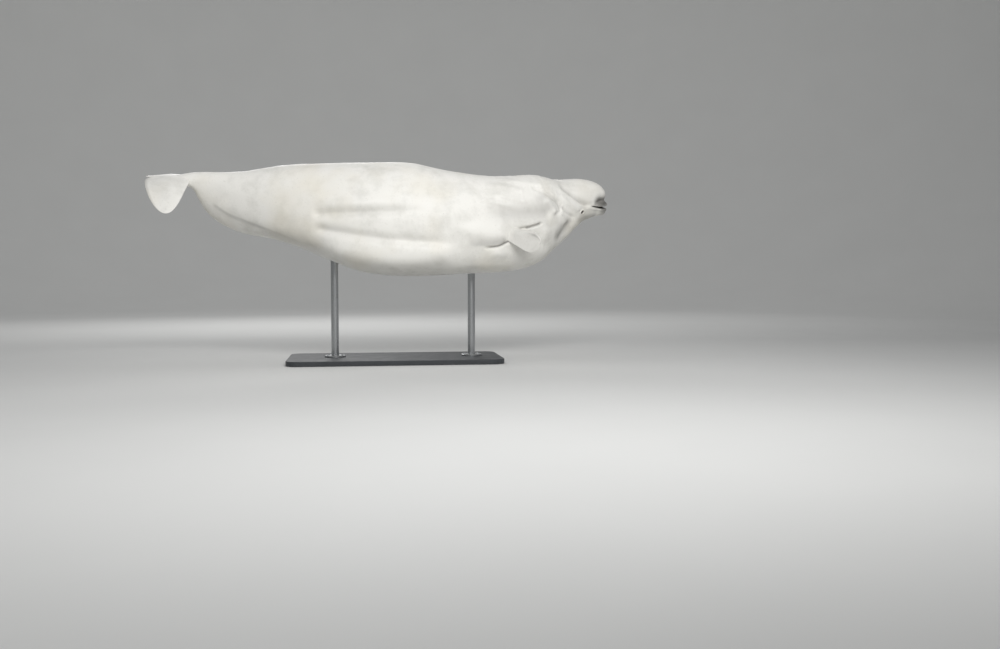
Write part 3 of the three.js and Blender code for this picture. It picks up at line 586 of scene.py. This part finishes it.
# Roots and lines are (s, out from the middle, z), the lines from their roots. The pitches are how far, in
# degrees, the blade's front edge is turned down at its root and at its tip.
FLIPPER_ROOTS = {"right": (940, 326, -92), "left": (880, 318, -108)}
FLIPPER_LINES = {
    "right": [(110, -90, 50), (0, 0, 0), (-70, 78, -32), (-128, 148, -50), (-158, 205, -48)],
    "left": [(30, -130, 20), (0, 0, 0), (40, 110, -60), (84, 210, -104), (112, 275, -92)],
}
FLIPPER_PITCH = {"right": (-55, -66), "left": (-12, 10)}
PADDLE_SECTIONS = 110
PADDLE_SIDES = 112


def loft_faces(sections, sides):
    """Faces through rings of points, closed by a fan to one more point at each end."""
    i, j = np.meshgrid(np.arange(sections - 1), np.arange(sides), indexing="ij")
    k = (j + 1) % sides
    quads = np.stack([i * sides + j, i * sides + k, (i + 1) * sides + k, (i + 1) * sides + j], -1)
    first, last = sections * sides, sections * sides + 1
    fans = [(first, (n + 1) % sides, n) for n in range(sides)]
    base = (sections - 1) * sides
    fans += [(last, base + n, base + (n + 1) % sides) for n in range(sides)]
    return quads.reshape(-1, 4).tolist() + fans


def loft_object(name, rings, shades):
    """A closed limb through its rings, drawn beside the straight body and then posed with it."""
    sections, sides = rings.shape[:2]
    points = np.concatenate([rings.reshape(-1, 3), [rings[0].mean(0), rings[-1].mean(0)]])
    shades = np.concatenate([shades.ravel(), [shades[0].mean(), shades[-1].mean()]])
    faces = loft_faces(sections, sides)
    p, q, r = (points[[f[k] for f in faces]] for k in range(3))
    if np.sum(np.cross(p, q) * r) < 0:  # the faces point in
        faces = [f[::-1] for f in faces]
    return mesh_object(name, posed(points), faces, {"shade": shades, "inside": 0, "socket": 0, "limb": 1})


def rounded(u, start):
    """One up to start, and from there on the quarter of an ellipse down to nothing at u = 1."""
    return np.sqrt(1 - (np.maximum(0, u - start) / (1 - start)) ** 2)


def flipper_rings(side, root, line, pitch):
    """Sections of a flipper from its root to its tip, and its painted shade: greyer beyond the root and
    darker under the curled front edge.
    """
    line = np.array(line, float)
    u = np.sin(np.linspace(0, 1, PADDLE_SECTIONS) * FLIPPER["end"] * math.pi / 2)
    place = u * (len(line) - 1)
    curves = [run(line[:, k]) for k in range(3)]
    centre = np.stack([c(place) for c in curves], -1) * [1, side, 1]
    ahead = np.stack([c(place + 0.01) - c(place - 0.01) for c in curves], -1) * [1, side, 1]
    ahead /= np.linalg.norm(ahead, axis=-1, keepdims=True)
    twist = np.radians(pitch[0] + (pitch[1] - pitch[0]) * ease(u, *FLIPPER["twists"]))
    forward = np.stack([-np.cos(twist), 0 * twist, -np.sin(twist)], -1)
    forward -= ahead * np.sum(forward * ahead, -1, keepdims=True)
    forward /= np.linalg.norm(forward, axis=-1, keepdims=True)
    up = np.cross(forward, ahead) * -side
    tip = rounded(u, FLIPPER["bend"])
    half = run(FLIPPER["chords"])(place) / 2 * tip
    thick = FLIPPER["thick"] * (1 - FLIPPER["taper"] * u) * np.maximum(FLIPPER["least"], tip)
    turn = np.arange(PADDLE_SIDES) / PADDLE_SIDES * 2 * math.pi
    x = np.cos(turn)
    reach = half[:, None] * x
    thin = ease(x, *FLIPPER["thins_across"]) * (1 - FLIPPER["rear"]) + FLIPPER["rear"]
    rise = thick[:, None] / 2 * np.sin(turn) * thin
    curled = ease(u, *FLIPPER["curl_starts"]) * (1 - ease(u, *FLIPPER["curl_ends"]))
    rise = rise + FLIPPER["curl"] * ease(x, *FLIPPER["curl_across"]) * curled[:, None]
    rings = centre[:, None] + forward[:, None] * reach[..., None] + up[:, None] * rise[..., None]
    # Painted shadow under the curled front edge, and painted shade over the rest of the blade.
    edge = np.exp(-(((x - FLIPPER["edge_across"]) / FLIPPER["edge_half"]) ** 2))
    edge = edge * ease(u, *FLIPPER["edge_starts"])[:, None]
    shades = FLIPPER["grey"] * ease(u, *FLIPPER["painted_shade_starts"])[:, None] + FLIPPER["curl_painted_shadow"] * edge
    return rings + [root[0], root[1] * side, root[2]], shades


# The flukes' middle line starts at middle, sweeps back and bows. Droop is how far they have bent down at
# their tips, in degrees. Taper, thins, least and rear are shares, and places across run from -1 in front
# to 1 at the rear.
FLUKE = {
    "middle": 3528, "level": 291, "sweep": 66, "bow": 45, "half": 168, "semi_span": 410, "taper": 0.12,
    "thick": 56, "thins": 0.8, "least": 0.35, "rear": 0.72, "rear_across": (-0.4, 1), "end": 0.975,
    "droop": 54, "notch": 30, "notch_reach": 0.045, "notch_across": (0.2, 1),
    "grey": 0.3, "grey_across": (0.8, 1),
}


def fluke_rings():
    """Both flukes in one, from the right tip to the left one, greyer along the rear edge."""
    where = np.linspace(-1, 1, 2 * PADDLE_SECTIONS + 1)
    angle = np.abs(where) * FLUKE["end"] * math.pi / 2
    u = np.sin(angle)
    side = np.sign(where)
    half = FLUKE["half"] * np.cos(angle) * (1 - FLUKE["taper"] * u)
    middle = FLUKE["middle"] + FLUKE["sweep"] * u - FLUKE["bow"] * u * u
    droop = math.radians(FLUKE["droop"])
    bend = droop * u
    y = FLUKE["semi_span"] * np.sin(bend) / droop
    drop = FLUKE["semi_span"] * (1 - np.cos(bend)) / droop
    thick = FLUKE["thick"] * (1 - FLUKE["thins"] * u) * np.maximum(FLUKE["least"], np.cos(angle))
    notch = FLUKE["notch"] * np.exp(-u / FLUKE["notch_reach"])
    turn = np.arange(PADDLE_SIDES) / PADDLE_SIDES * 2 * math.pi
    x = -np.cos(turn)
    rear = 1 - ease(x, *FLUKE["rear_across"]) * FLUKE["rear"]
    s = middle[:, None] + half[:, None] * x - notch[:, None] * ease(x, *FLUKE["notch_across"])
    t = thick[:, None] / 2 * np.sin(turn) * rear
    across = side[:, None] * (y[:, None] + t * np.sin(bend)[:, None])
    rings = np.stack([s, across, FLUKE["level"] - drop[:, None] + t * np.cos(bend)[:, None]], -1)
    return rings, FLUKE["grey"] * ease(x, *FLUKE["grey_across"]) * np.ones_like(s)


limbs = []
for name, side in (("right", -1), ("left", 1)):
    blade = flipper_rings(side, FLIPPER_ROOTS[name], FLIPPER_LINES[name], FLIPPER_PITCH[name])
    limbs.append(loft_object("flipper_" + name, *blade))
limbs.append(loft_object("flukes", *fluke_rings()))

# One closed skin over the body and its limbs.
for limb in limbs:
    union = skin.modifiers.new(limb.name, "BOOLEAN")
    union.operation = "UNION"
    union.solver = "MANIFOLD"
    union.object = limb
joined = bpy.data.meshes.new_from_object(skin.evaluated_get(bpy.context.evaluated_depsgraph_get()))
skin.modifiers.clear()
skin.data = joined


def vertex_values(mesh, name, width=1):
    """A mark's value on every point, or with width 3 the points themselves."""
    flat = np.empty(len(mesh.vertices) * width, np.float32)
    mesh.attributes[name].data.foreach_get("value" if width == 1 else "vector", flat)
    return flat if width == 1 else flat.reshape(-1, width).astype(float)


# The blubber runs out over each root in a soft hollow. Reach is in metres from the line of the join.
JOINT_REACH = 0.035
JOINT_FULL = 0.3  # share of the reach within which the skin is smoothed in full
JOINT_PASSES = 40
JOINT_SHARE = 0.6  # how far a pass moves a point towards the middle of its neighbours
JOINT_BLOCK = 20000  # points measured at a time, against at most so many places on the join:
JOINT_SEAM_BLOCK = 500


def soften_joints(mesh):
    """Smooths the skin close to where a limb grows out of the body."""
    p = vertex_values(mesh, "position", 3)
    limb = vertex_values(mesh, "limb")
    edges = np.empty(len(mesh.edges) * 2, np.int32)
    mesh.edges.foreach_get("vertices", edges)
    edges = edges.reshape(-1, 2)
    seam = p[np.unique(edges[limb[edges[:, 0]] != limb[edges[:, 1]]])]
    away = np.full(len(p), JOINT_REACH)
    for start in range(0, len(p), JOINT_BLOCK):
        block = p[start : start + JOINT_BLOCK]
        nearest = away[start : start + JOINT_BLOCK]
        low, high = block.min(0) - JOINT_REACH, block.max(0) + JOINT_REACH
        close = seam[((seam > low) & (seam < high)).all(1)]
        for index in range(0, len(close), JOINT_SEAM_BLOCK):
            gaps = np.linalg.norm(block[:, None] - close[None, index : index + JOINT_SEAM_BLOCK], axis=-1)
            np.minimum(nearest, gaps.min(1), out=nearest)
    weight = 1 - ease(away, JOINT_REACH * JOINT_FULL, JOINT_REACH)
    edges = edges[(weight[edges] > 0).any(1)]
    ends = np.concatenate([edges, edges[:, ::-1]])
    count = np.maximum(1, np.bincount(ends[:, 0], minlength=len(p)))
    for _ in range(JOINT_PASSES):
        total = np.stack([np.bincount(ends[:, 0], p[ends[:, 1], k], len(p)) for k in range(3)], -1)
        moved = p + weight[:, None] * JOINT_SHARE * (total / count[:, None] - p)
        p = np.where(weight[:, None] > 0, moved, p)
    mesh.vertices.foreach_set("co", p.ravel())
    mesh.update()


soften_joints(skin.data)
for limb in limbs:
    bpy.data.objects.remove(limb)
skin.data.shade_smooth()
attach(skin, "root")
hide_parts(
    "head", "melon", "lower_jaw", "neck", "chest", "torso", "rump", "tail_stock",
    "flipper_right", "flipper_left", "fluke_right", "fluke_left",
)


def linear(colour):
    """Turns an sRGB hex value into the linear colour that a shader takes."""
    parts = [int(colour[i : i + 2], 16) / 255 for i in (1, 3, 5)]
    return [c / 12.92 if c <= 0.04045 else ((c + 0.055) / 1.055) ** 2.4 for c in parts] + [1]


def add_node(tree, kind, settings=(), links=()):
    """Adds a node. settings gives its properties and input values, links what feeds its inputs."""
    node = tree.nodes.new(kind)
    for name, value in dict(settings).items():
        if hasattr(node, str(name)):
            setattr(node, name, value)
        else:
            node.inputs[name].default_value = value
    for name, source in dict(links).items():
        tree.links.new(source, node.inputs[name])
    return node


def new_material(name):
    """An empty material and its tree of nodes."""
    material = bpy.data.materials.new(name)
    material.use_nodes = True
    material.node_tree.nodes.clear()
    return material, material.node_tree


# Sizes of the skin's pattern in millimetres. Real flecks and wrinkles are finer, and are drawn this coarse
# so that they show at all from a few metres away.
SKIN_PATTERN = {"clouds": 160, "cream": 420, "flecks": 14, "wrinkles": 9}


def skin_material():
    """Bare beluga skin: creamy white and faintly mottled, with a soft damp shine broken by fine wrinkles, and
    painted shade in its colour.
    """
    material, tree = new_material("beluga_skin")
    place = add_node(tree, "ShaderNodeTexCoord").outputs["Object"]
    scale = {name: 1 / (size * MM) for name, size in SKIN_PATTERN.items()}
    clouds = add_node(
        tree, "ShaderNodeTexNoise", {"Scale": scale["clouds"], "Detail": 5, "Roughness": 0.6},
        {"Vector": place},
    )
    cloudy = add_node(
        tree, "ShaderNodeMapRange", {"From Min": 0.46, "From Max": 0.7, "To Max": 0.8},
        {"Value": clouds.outputs["Fac"]},
    )
    white = add_node(
        tree, "ShaderNodeMix", {"data_type": "RGBA", 6: linear("#f4f2ec"), 7: linear("#dfddd6")},
        {0: cloudy.outputs["Result"]},
    )
    cream = add_node(tree, "ShaderNodeTexNoise", {"Scale": scale["cream"], "Detail": 2}, {"Vector": place})
    creamy = add_node(
        tree, "ShaderNodeMapRange", {"From Min": 0.5, "From Max": 0.75, "To Max": 0.5},
        {"Value": cream.outputs["Fac"]},
    )
    warmed = add_node(
        tree, "ShaderNodeMix", {"data_type": "RGBA", 7: linear("#eae3d2")},
        {0: creamy.outputs["Result"], 6: white.outputs[2]},
    )
    flecks = add_node(tree, "ShaderNodeTexNoise", {"Scale": scale["flecks"], "Detail": 3}, {"Vector": place})
    flecked = add_node(
        tree, "ShaderNodeMapRange", {"From Min": 0.6, "From Max": 0.78, "To Max": 0.35},
        {"Value": flecks.outputs["Fac"]},
    )
    spotted = add_node(
        tree, "ShaderNodeMix", {"data_type": "RGBA", 7: linear("#cfccc4")},
        {0: flecked.outputs["Result"], 6: warmed.outputs[2]},
    )
    # Painted shade: the shade mark greys the skin towards this colour in the creases and hollows, the recess
    # under the melon and under the rump, partly real darker skin on the beak and lips and the flukes' rear
    # edges.
    shades = add_node(tree, "ShaderNodeAttribute", {"attribute_name": "shade"})
    greyer = add_node(
        tree, "ShaderNodeMix", {"data_type": "RGBA", 7: linear("#5c5956")},
        {0: shades.outputs["Fac"], 6: spotted.outputs[2]},
    )
    # Painted shade, nearly black, deep in the mouth's slit and the blowhole.
    inside = add_node(tree, "ShaderNodeAttribute", {"attribute_name": "inside"})
    dark = add_node(
        tree, "ShaderNodeMix", {"data_type": "RGBA", 7: linear("#2a2224")},
        {0: inside.outputs["Fac"], 6: greyer.outputs[2]},
    )
    # Painted shade, nearly black, deep in each eye's opening round the glass eye.
    socket = add_node(tree, "ShaderNodeAttribute", {"attribute_name": "socket"})
    socket_painted_shade = add_node(
        tree, "ShaderNodeMix", {"data_type": "RGBA", 7: linear("#2b2524")},
        {0: socket.outputs["Fac"], 6: dark.outputs[2]},
    )
    wrinkles = add_node(
        tree, "ShaderNodeTexNoise", {"Scale": scale["wrinkles"], "Detail": 4, "Distortion": 0.6},
        {"Vector": place},
    )
    bump = add_node(
        tree, "ShaderNodeBump", {"Strength": 0.3, "Distance": 1.2 * MM}, {"Height": wrinkles.outputs["Fac"]},
    )
    damp = add_node(
        tree, "ShaderNodeMapRange", {"From Min": 0.3, "From Max": 0.7, "To Min": 0.4, "To Max": 0.6},
        {"Value": clouds.outputs["Fac"]},
    )
    shader = add_node(
        tree, "ShaderNodeBsdfPrincipled", {"IOR": 1.42, "Specular IOR Level": 0.4},
        {
            "Base Color": socket_painted_shade.outputs[2],
            "Roughness": damp.outputs["Result"],
            "Normal": bump.outputs["Normal"],
        },
    )
    add_node(tree, "ShaderNodeOutputMaterial", {}, {"Surface": shader.outputs[0]})
    return material


skin.data.materials.clear()
skin.data.materials.append(skin_material())


# Eyes: small, dark and wet, each a ball of glass behind slanted lids, with a clear bulge over the pupil.
# They are turned like the real ones and let into the sockets, where the frame has its own plain balls.

# Bulge is a share of the ball's radius. Bulge angle, pupil and iris are in degrees away from the gaze.
EYEBALL = {"bulge": 0.1, "bulge_angle": 26, "pupil": 20, "iris": 62, "rings": 40, "sides": 64}
# Where the search for the eye's place runs: stations back and radians from the top, and how many of each.
# The way out of the skin is then measured over one step of both.
EYE_SEARCH = {"stations": (4, 13, 241), "around": (0.6, 2.4, 181), "step": 0.02}


def eye_direction(side):
    """The way an eye looks: straight out of the skin at its place, by search over the body's surface."""
    stations, turns = np.linspace(*EYE_SEARCH["stations"]), np.linspace(*EYE_SEARCH["around"])
    t, around = np.meshgrid(stations, turns, indexing="ij")
    p = plain_point(t, around * side)
    best = np.unravel_index(np.argmin(np.hypot(p[..., 0] - EYE["s"], p[..., 2] - EYE["z"])), t.shape)
    at, turn = t[best], around[best] * side
    step = EYE_SEARCH["step"]
    corners = posed(plain_point(np.array([at, at + step, at]), np.array([turn, turn, turn + step])))
    out = np.cross(corners[1] - corners[0], corners[2] - corners[0])
    return Vector(out * np.sign(out[1]) * side).normalized()


def eyeball_mesh(name, centre, radius, gaze):
    """A ball that looks along gaze, with the angle from it kept on every point."""
    angle = np.linspace(0, math.pi, EYEBALL["rings"] + 1)[1:-1, None]
    turn = np.arange(EYEBALL["sides"]) / EYEBALL["sides"] * 2 * math.pi
    away = radius * (1 + EYEBALL["bulge"] * np.exp(-((np.degrees(angle) / EYEBALL["bulge_angle"]) ** 2)))
    across = away * np.sin(angle)
    rings = np.stack([across * np.cos(turn), across * np.sin(turn), away * np.cos(angle) + 0 * turn], -1)
    poles = [[0, 0, radius * (1 + EYEBALL["bulge"])], [0, 0, -radius]]
    points = np.concatenate([rings.reshape(-1, 3), poles])
    turned = np.array(gaze.to_track_quat("Z", "Y").to_matrix())
    faces = [f[::-1] for f in loft_faces(len(angle), EYEBALL["sides"])]
    angles = np.concatenate([np.repeat(np.degrees(angle[:, 0]), EYEBALL["sides"]), [0, 180]])
    return mesh_object(name, points @ turned.T + centre, faces, {"angle": angles})


def eye_material():
    """A wet dark eye: black pupil, deep brown iris and smoky white, all under one clear gloss."""
    material, tree = new_material("glass_eye")
    angle = add_node(tree, "ShaderNodeAttribute", {"attribute_name": "angle"})
    share = add_node(tree, "ShaderNodeMapRange", {"From Max": 90}, {"Value": angle.outputs["Fac"]})
    ramp = add_node(tree, "ShaderNodeValToRGB", {}, {"Fac": share.outputs["Result"]})
    edges = ((0, "#050505"), (EYEBALL["pupil"] / 90, "#050505"), ((EYEBALL["pupil"] + 3) / 90, "#3a2214"))
    edges += ((EYEBALL["iris"] / 90, "#22130b"), ((EYEBALL["iris"] + 4) / 90, "#3a3430"))
    elements = ramp.color_ramp.elements
    for index, (place, colour) in enumerate(edges):
        element = elements[index] if index < 2 else elements.new(place)
        element.position = place
        element.color = linear(colour)
    shader = add_node(
        tree, "ShaderNodeBsdfPrincipled",
        {"Roughness": 0.12, "IOR": 1.38, "Coat Weight": 1, "Coat Roughness": 0.03},
        {"Base Color": ramp.outputs["Color"]},
    )
    add_node(tree, "ShaderNodeOutputMaterial", {}, {"Surface": shader.outputs[0]})
    return material


glass = eye_material()
for name, side in (("right", -1), ("left", 1)):
    low, high = (np.array(corner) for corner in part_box("eye_" + name))
    eye = eyeball_mesh("glass_eye_" + name, (low + high) / 2, (high - low).min() / 2, eye_direction(side))
    eye.data.shade_smooth()
    eye.data.materials.append(glass)
    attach(eye, "root")
    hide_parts("eye_" + name)


# Display stand: a thick steel plate with an eased edge, powder coated dark grey, and two brushed
# steel rods up into the belly, each stood in a round flange that six button-head screws hold down.

# Sizes in millimetres. The screws stand on a circle round the rod, given by its radius, and the socket's
# size is half its width across the flats.
STAND = {"corner": 90, "ease": 5, "ease_steps": 4, "corner_steps": 14}
SCREW = {"circle": 62, "count": 6, "radius": 9, "tall": 5, "socket": 4.2, "deep": 3, "sides": 24}


def plate_outline(half_long, half_wide, corner):
    """A rectangle with round corners."""
    turn = np.linspace(0, math.pi / 2, STAND["corner_steps"])
    points = []
    for quarter, (sx, sy) in enumerate(((1, 1), (-1, 1), (-1, -1), (1, -1))):
        angle = turn + quarter * math.pi / 2
        x = sx * (half_long - corner) + corner * np.cos(angle)
        y = sy * (half_wide - corner) + corner * np.sin(angle)
        points.append(np.stack([x, y], -1))
    return np.concatenate(points)


def plate_mesh(name, low, high):
    """The plate that fills the box from low to high, with its edges eased above and below."""
    half = (high - low) / 2
    corner, eased = STAND["corner"] * MM, STAND["ease"] * MM
    turn = np.linspace(0, math.pi / 2, STAND["ease_steps"])
    levels = [(eased * (1 - np.sin(a)), low[2] + eased * (1 - np.cos(a))) for a in turn]
    levels += [(eased * (1 - np.cos(a)), high[2] - eased * (1 - np.sin(a))) for a in turn]
    rings = []
    for inset, z in levels:
        outline = plate_outline(half[0] - inset, half[1] - inset, corner - inset)
        rings.append(np.column_stack([outline + (low + half)[:2], np.full(len(outline), z)]))
    count = len(rings[0])
    faces = [
        (i * count + j, i * count + (j + 1) % count, (i + 1) * count + (j + 1) % count, (i + 1) * count + j)
        for i in range(len(rings) - 1) for j in range(count)
    ]
    faces.append(tuple(range(count))[::-1])
    faces.append(tuple((len(rings) - 1) * count + j for j in range(count)))
    return mesh_object(name, np.concatenate(rings), faces)


def powder_coat():
    """Powder coated steel: a dull even grey film with the faint orange peel of baked paint."""
    material, tree = new_material("powder_coat")
    place = add_node(tree, "ShaderNodeTexCoord").outputs["Object"]
    peel = add_node(tree, "ShaderNodeTexNoise", {"Scale": 1 / (3 * MM), "Detail": 2}, {"Vector": place})
    dust = add_node(tree, "ShaderNodeTexNoise", {"Scale": 1 / (120 * MM), "Detail": 6}, {"Vector": place})
    tone = add_node(
        tree, "ShaderNodeMix", {"data_type": "RGBA", 6: linear("#34373a"), 7: linear("#44474a")},
        {0: dust.outputs["Fac"]},
    )
    gloss = add_node(
        tree, "ShaderNodeMapRange", {"From Min": 0.3, "From Max": 0.7, "To Min": 0.42, "To Max": 0.55},
        {"Value": dust.outputs["Fac"]},
    )
    bump = add_node(
        tree, "ShaderNodeBump", {"Strength": 0.25, "Distance": 0.3 * MM}, {"Height": peel.outputs["Fac"]},
    )
    shader = add_node(
        tree, "ShaderNodeBsdfPrincipled", {"IOR": 1.5},
        {
            "Base Color": tone.outputs[2],
            "Roughness": gloss.outputs["Result"],
            "Normal": bump.outputs["Normal"],
        },
    )
    add_node(tree, "ShaderNodeOutputMaterial", {}, {"Surface": shader.outputs[0]})
    return material


def brushed_steel(name, stretch):
    """Brushed stainless steel: fine scratches round the rods and across the flanges soften its highlights."""
    material, tree = new_material(name)
    place = add_node(tree, "ShaderNodeTexCoord").outputs["Object"]
    stretched = add_node(tree, "ShaderNodeMapping", {"Scale": stretch}, {"Vector": place})
    scratches = add_node(
        tree, "ShaderNodeTexNoise", {"Scale": 1 / (1.2 * MM), "Detail": 3},
        {"Vector": stretched.outputs["Vector"]},
    )
    gloss = add_node(
        tree, "ShaderNodeMapRange", {"From Min": 0.3, "From Max": 0.7, "To Min": 0.24, "To Max": 0.4},
        {"Value": scratches.outputs["Fac"]},
    )
    tone = add_node(
        tree, "ShaderNodeMix", {"data_type": "RGBA", 6: linear("#b4b6b8"), 7: linear("#c9cbcc")},
        {0: scratches.outputs["Fac"]},
    )
    bump = add_node(
        tree, "ShaderNodeBump", {"Strength": 0.12, "Distance": 0.2 * MM},
        {"Height": scratches.outputs["Fac"]},
    )
    shader = add_node(
        tree, "ShaderNodeBsdfPrincipled", {"Metallic": 1},
        {
            "Base Color": tone.outputs[2],
            "Roughness": gloss.outputs["Result"],
            "Normal": bump.outputs["Normal"],
        },
    )
    add_node(tree, "ShaderNodeOutputMaterial", {}, {"Surface": shader.outputs[0]})
    return material


plate = plate_mesh("stand_plate", *(np.array(corner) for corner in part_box("stand_base")))
plate.data.materials.append(powder_coat())
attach(plate, "root")
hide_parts("stand_base")

SCRATCH = 0.04  # how little the scratches change along their own way
rod_steel = brushed_steel("brushed_steel_rod", (SCRATCH, SCRATCH, 1))
flange_steel = brushed_steel("brushed_steel_flange", (1, SCRATCH, SCRATCH))
for name in ("front", "rear"):
    for node, steel in (("stand_rod_" + name, rod_steel), ("stand_flange_" + name, flange_steel)):
        carried = bpy.data.objects[node]
        carried.data.materials.clear()
        carried.data.materials.append(steel)


def screw_mesh(name, x, y, foot):
    """A ring of button-head screws with six-sided sockets, round the middle (x, y) on the level foot."""
    profile = [(1, 0), (1, 0.35), (0.86, 0.75), (0.6, 1)]  # shares of the head's radius and height
    points, faces = [], []
    turn = np.arange(SCREW["sides"]) / SCREW["sides"] * 2 * math.pi
    hexagon = SCREW["socket"] / np.cos((turn + math.pi / 6) % (math.pi / 3) - math.pi / 6)
    for index in range(SCREW["count"]):
        at = (index + 0.5) / SCREW["count"] * 2 * math.pi
        middle = np.array([x / MM + SCREW["circle"] * math.cos(at), y / MM + SCREW["circle"] * math.sin(at)])
        rings = [(np.full(len(turn), SCREW["radius"] * r), SCREW["tall"] * h) for r, h in profile]
        rings += [(hexagon, SCREW["tall"]), (hexagon, SCREW["tall"] - SCREW["deep"])]
        start = len(points)
        for radius, height in rings:
            ring_points = middle + np.stack([radius * np.cos(turn), radius * np.sin(turn)], -1)
            points += np.column_stack([ring_points * MM, np.full(len(turn), foot + height * MM)]).tolist()
        n = len(turn)
        for i in range(len(rings) - 1):
            for j in range(n):
                a, b = start + i * n + j, start + i * n + (j + 1) % n
                faces.append((a, b, b + n, a + n))
        faces.append(tuple(start + j for j in range(n))[::-1])
        faces.append(tuple(start + (len(rings) - 1) * n + j for j in range(n)))
    return mesh_object(name, np.array(points), faces)


for name in ("front", "rear"):
    low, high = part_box("stand_flange_" + name)
    screws = screw_mesh("flange_screws_" + name, (low[0] + high[0]) / 2, (low[1] + high[1]) / 2, high[2])
    screws.data.materials.append(flange_steel)
    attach(screws, "root")


# Floor and backdrop of a plain studio: one pale matt sweep, round all sides, that rises far behind.
# A large soft lamp high on the camera's side gives the light. Weaker ones hang overhead and behind the
# whale, and one more washes the backdrop. All sizes are in metres.

SWEEP = {"floor": 10.5, "curve": 6.5, "wall": 10.0, "steps": 14, "sides": 96}


def sweep_mesh():
    """A round floor that curves up into a wall."""
    floor, curve = SWEEP["floor"], SWEEP["curve"]
    angles = np.linspace(0, math.pi / 2, SWEEP["steps"])
    profile = [(floor + curve * math.sin(a), curve * (1 - math.cos(a))) for a in angles]
    profile.append((floor + curve, SWEEP["wall"]))
    turn = np.arange(SWEEP["sides"]) / SWEEP["sides"] * 2 * math.pi
    points, faces = [(0, 0, 0)], []
    for radius, height in profile:
        points += [(radius * math.cos(a), radius * math.sin(a), height) for a in turn]
    n = SWEEP["sides"]
    faces += [(0, 1 + j, 1 + (j + 1) % n) for j in range(n)]
    for i in range(len(profile) - 1):
        for j in range(n):
            a, b = 1 + i * n + j, 1 + i * n + (j + 1) % n
            faces.append((a, a + n, b + n, b))
    return mesh_object("studio_sweep", np.array(points, float), faces)


def matt_paint():
    """Pale emulsion paint: quite dull, with only the slightest unevenness of a rolled coat."""
    material, tree = new_material("emulsion_paint")
    place = add_node(tree, "ShaderNodeTexCoord").outputs["Object"]
    patches = add_node(tree, "ShaderNodeTexNoise", {"Scale": 1 / (900 * MM), "Detail": 3}, {"Vector": place})
    tone = add_node(
        tree, "ShaderNodeMix", {"data_type": "RGBA", 6: linear("#d4d4d2"), 7: linear("#d9d9d7")},
        {0: patches.outputs["Fac"]},
    )
    shader = add_node(tree, "ShaderNodeBsdfPrincipled", {"Roughness": 0.9}, {"Base Color": tone.outputs[2]})
    add_node(tree, "ShaderNodeOutputMaterial", {}, {"Surface": shader.outputs[0]})
    return material


sweep = sweep_mesh()
sweep.data.shade_smooth()
sweep.data.materials.append(matt_paint())

# The light that comes from all round.
AIR = {"colour": "#e9ebee", "strength": 0.32}
world = bpy.data.worlds.new("studio")
bpy.context.scene.world = world
world.use_nodes = True
air = world.node_tree.nodes["Background"]
air.inputs["Color"].default_value = linear(AIR["colour"])
air.inputs["Strength"].default_value = AIR["strength"]


def soft_box(name, place, target, size, watts):
    """A wide lamp that faces its target and is itself not seen by the camera."""
    lamp = bpy.data.lights.new(name, "AREA")
    lamp.shape = "RECTANGLE"
    lamp.size, lamp.size_y = size
    lamp.energy = watts
    made = bpy.data.objects.new(name, lamp)
    made.location = place
    made.visible_camera = False
    made.rotation_euler = (Vector(target) - Vector(place)).to_track_quat("-Z", "Y").to_euler()
    bpy.context.scene.collection.objects.link(made)


soft_box("high_front", (0.8, -5.2, 3.9), (0, 0, 1.2), (3.5, 1.6), 235)
soft_box("overhead", (0.2, 0.4, 5.2), (0, 0, 1.2), (5, 2), 20)
soft_box("high_rear", (-1.5, 6.0, 4.4), (0, 0, 1.2), (4, 1.6), 130)
soft_box("backdrop_wash", (0, 4, 6.5), (0, 16, 2.5), (12, 1.5), 300)
bpy.context.scene.view_settings.view_transform = "Standard"


# Camera at the photo's place: level with the belly, a little behind the whale's middle.
# Azimuth and tilt are in degrees, distances in metres, and the lens and its sensor in millimetres.

CAMERA = {
    "azimuth": -8, "aside": 0.848, "distance": 7.85, "height": 0.75, "tilt": 3.3, "lens": 35, "sensor": 36,
}
lens = bpy.data.cameras.new("camera")
lens.lens = CAMERA["lens"]
lens.sensor_width = CAMERA["sensor"]
camera = bpy.data.objects.new("camera", lens)
turn = math.radians(CAMERA["azimuth"])
back = Vector((math.sin(turn), -math.cos(turn), 0))
right = Vector((math.cos(turn), math.sin(turn), 0))
camera.location = back * CAMERA["distance"] + right * CAMERA["aside"] + Vector((0, 0, CAMERA["height"]))
camera.rotation_euler = (math.radians(90 - CAMERA["tilt"]), 0, turn)
bpy.context.scene.collection.objects.link(camera)
bpy.context.scene.camera = camera
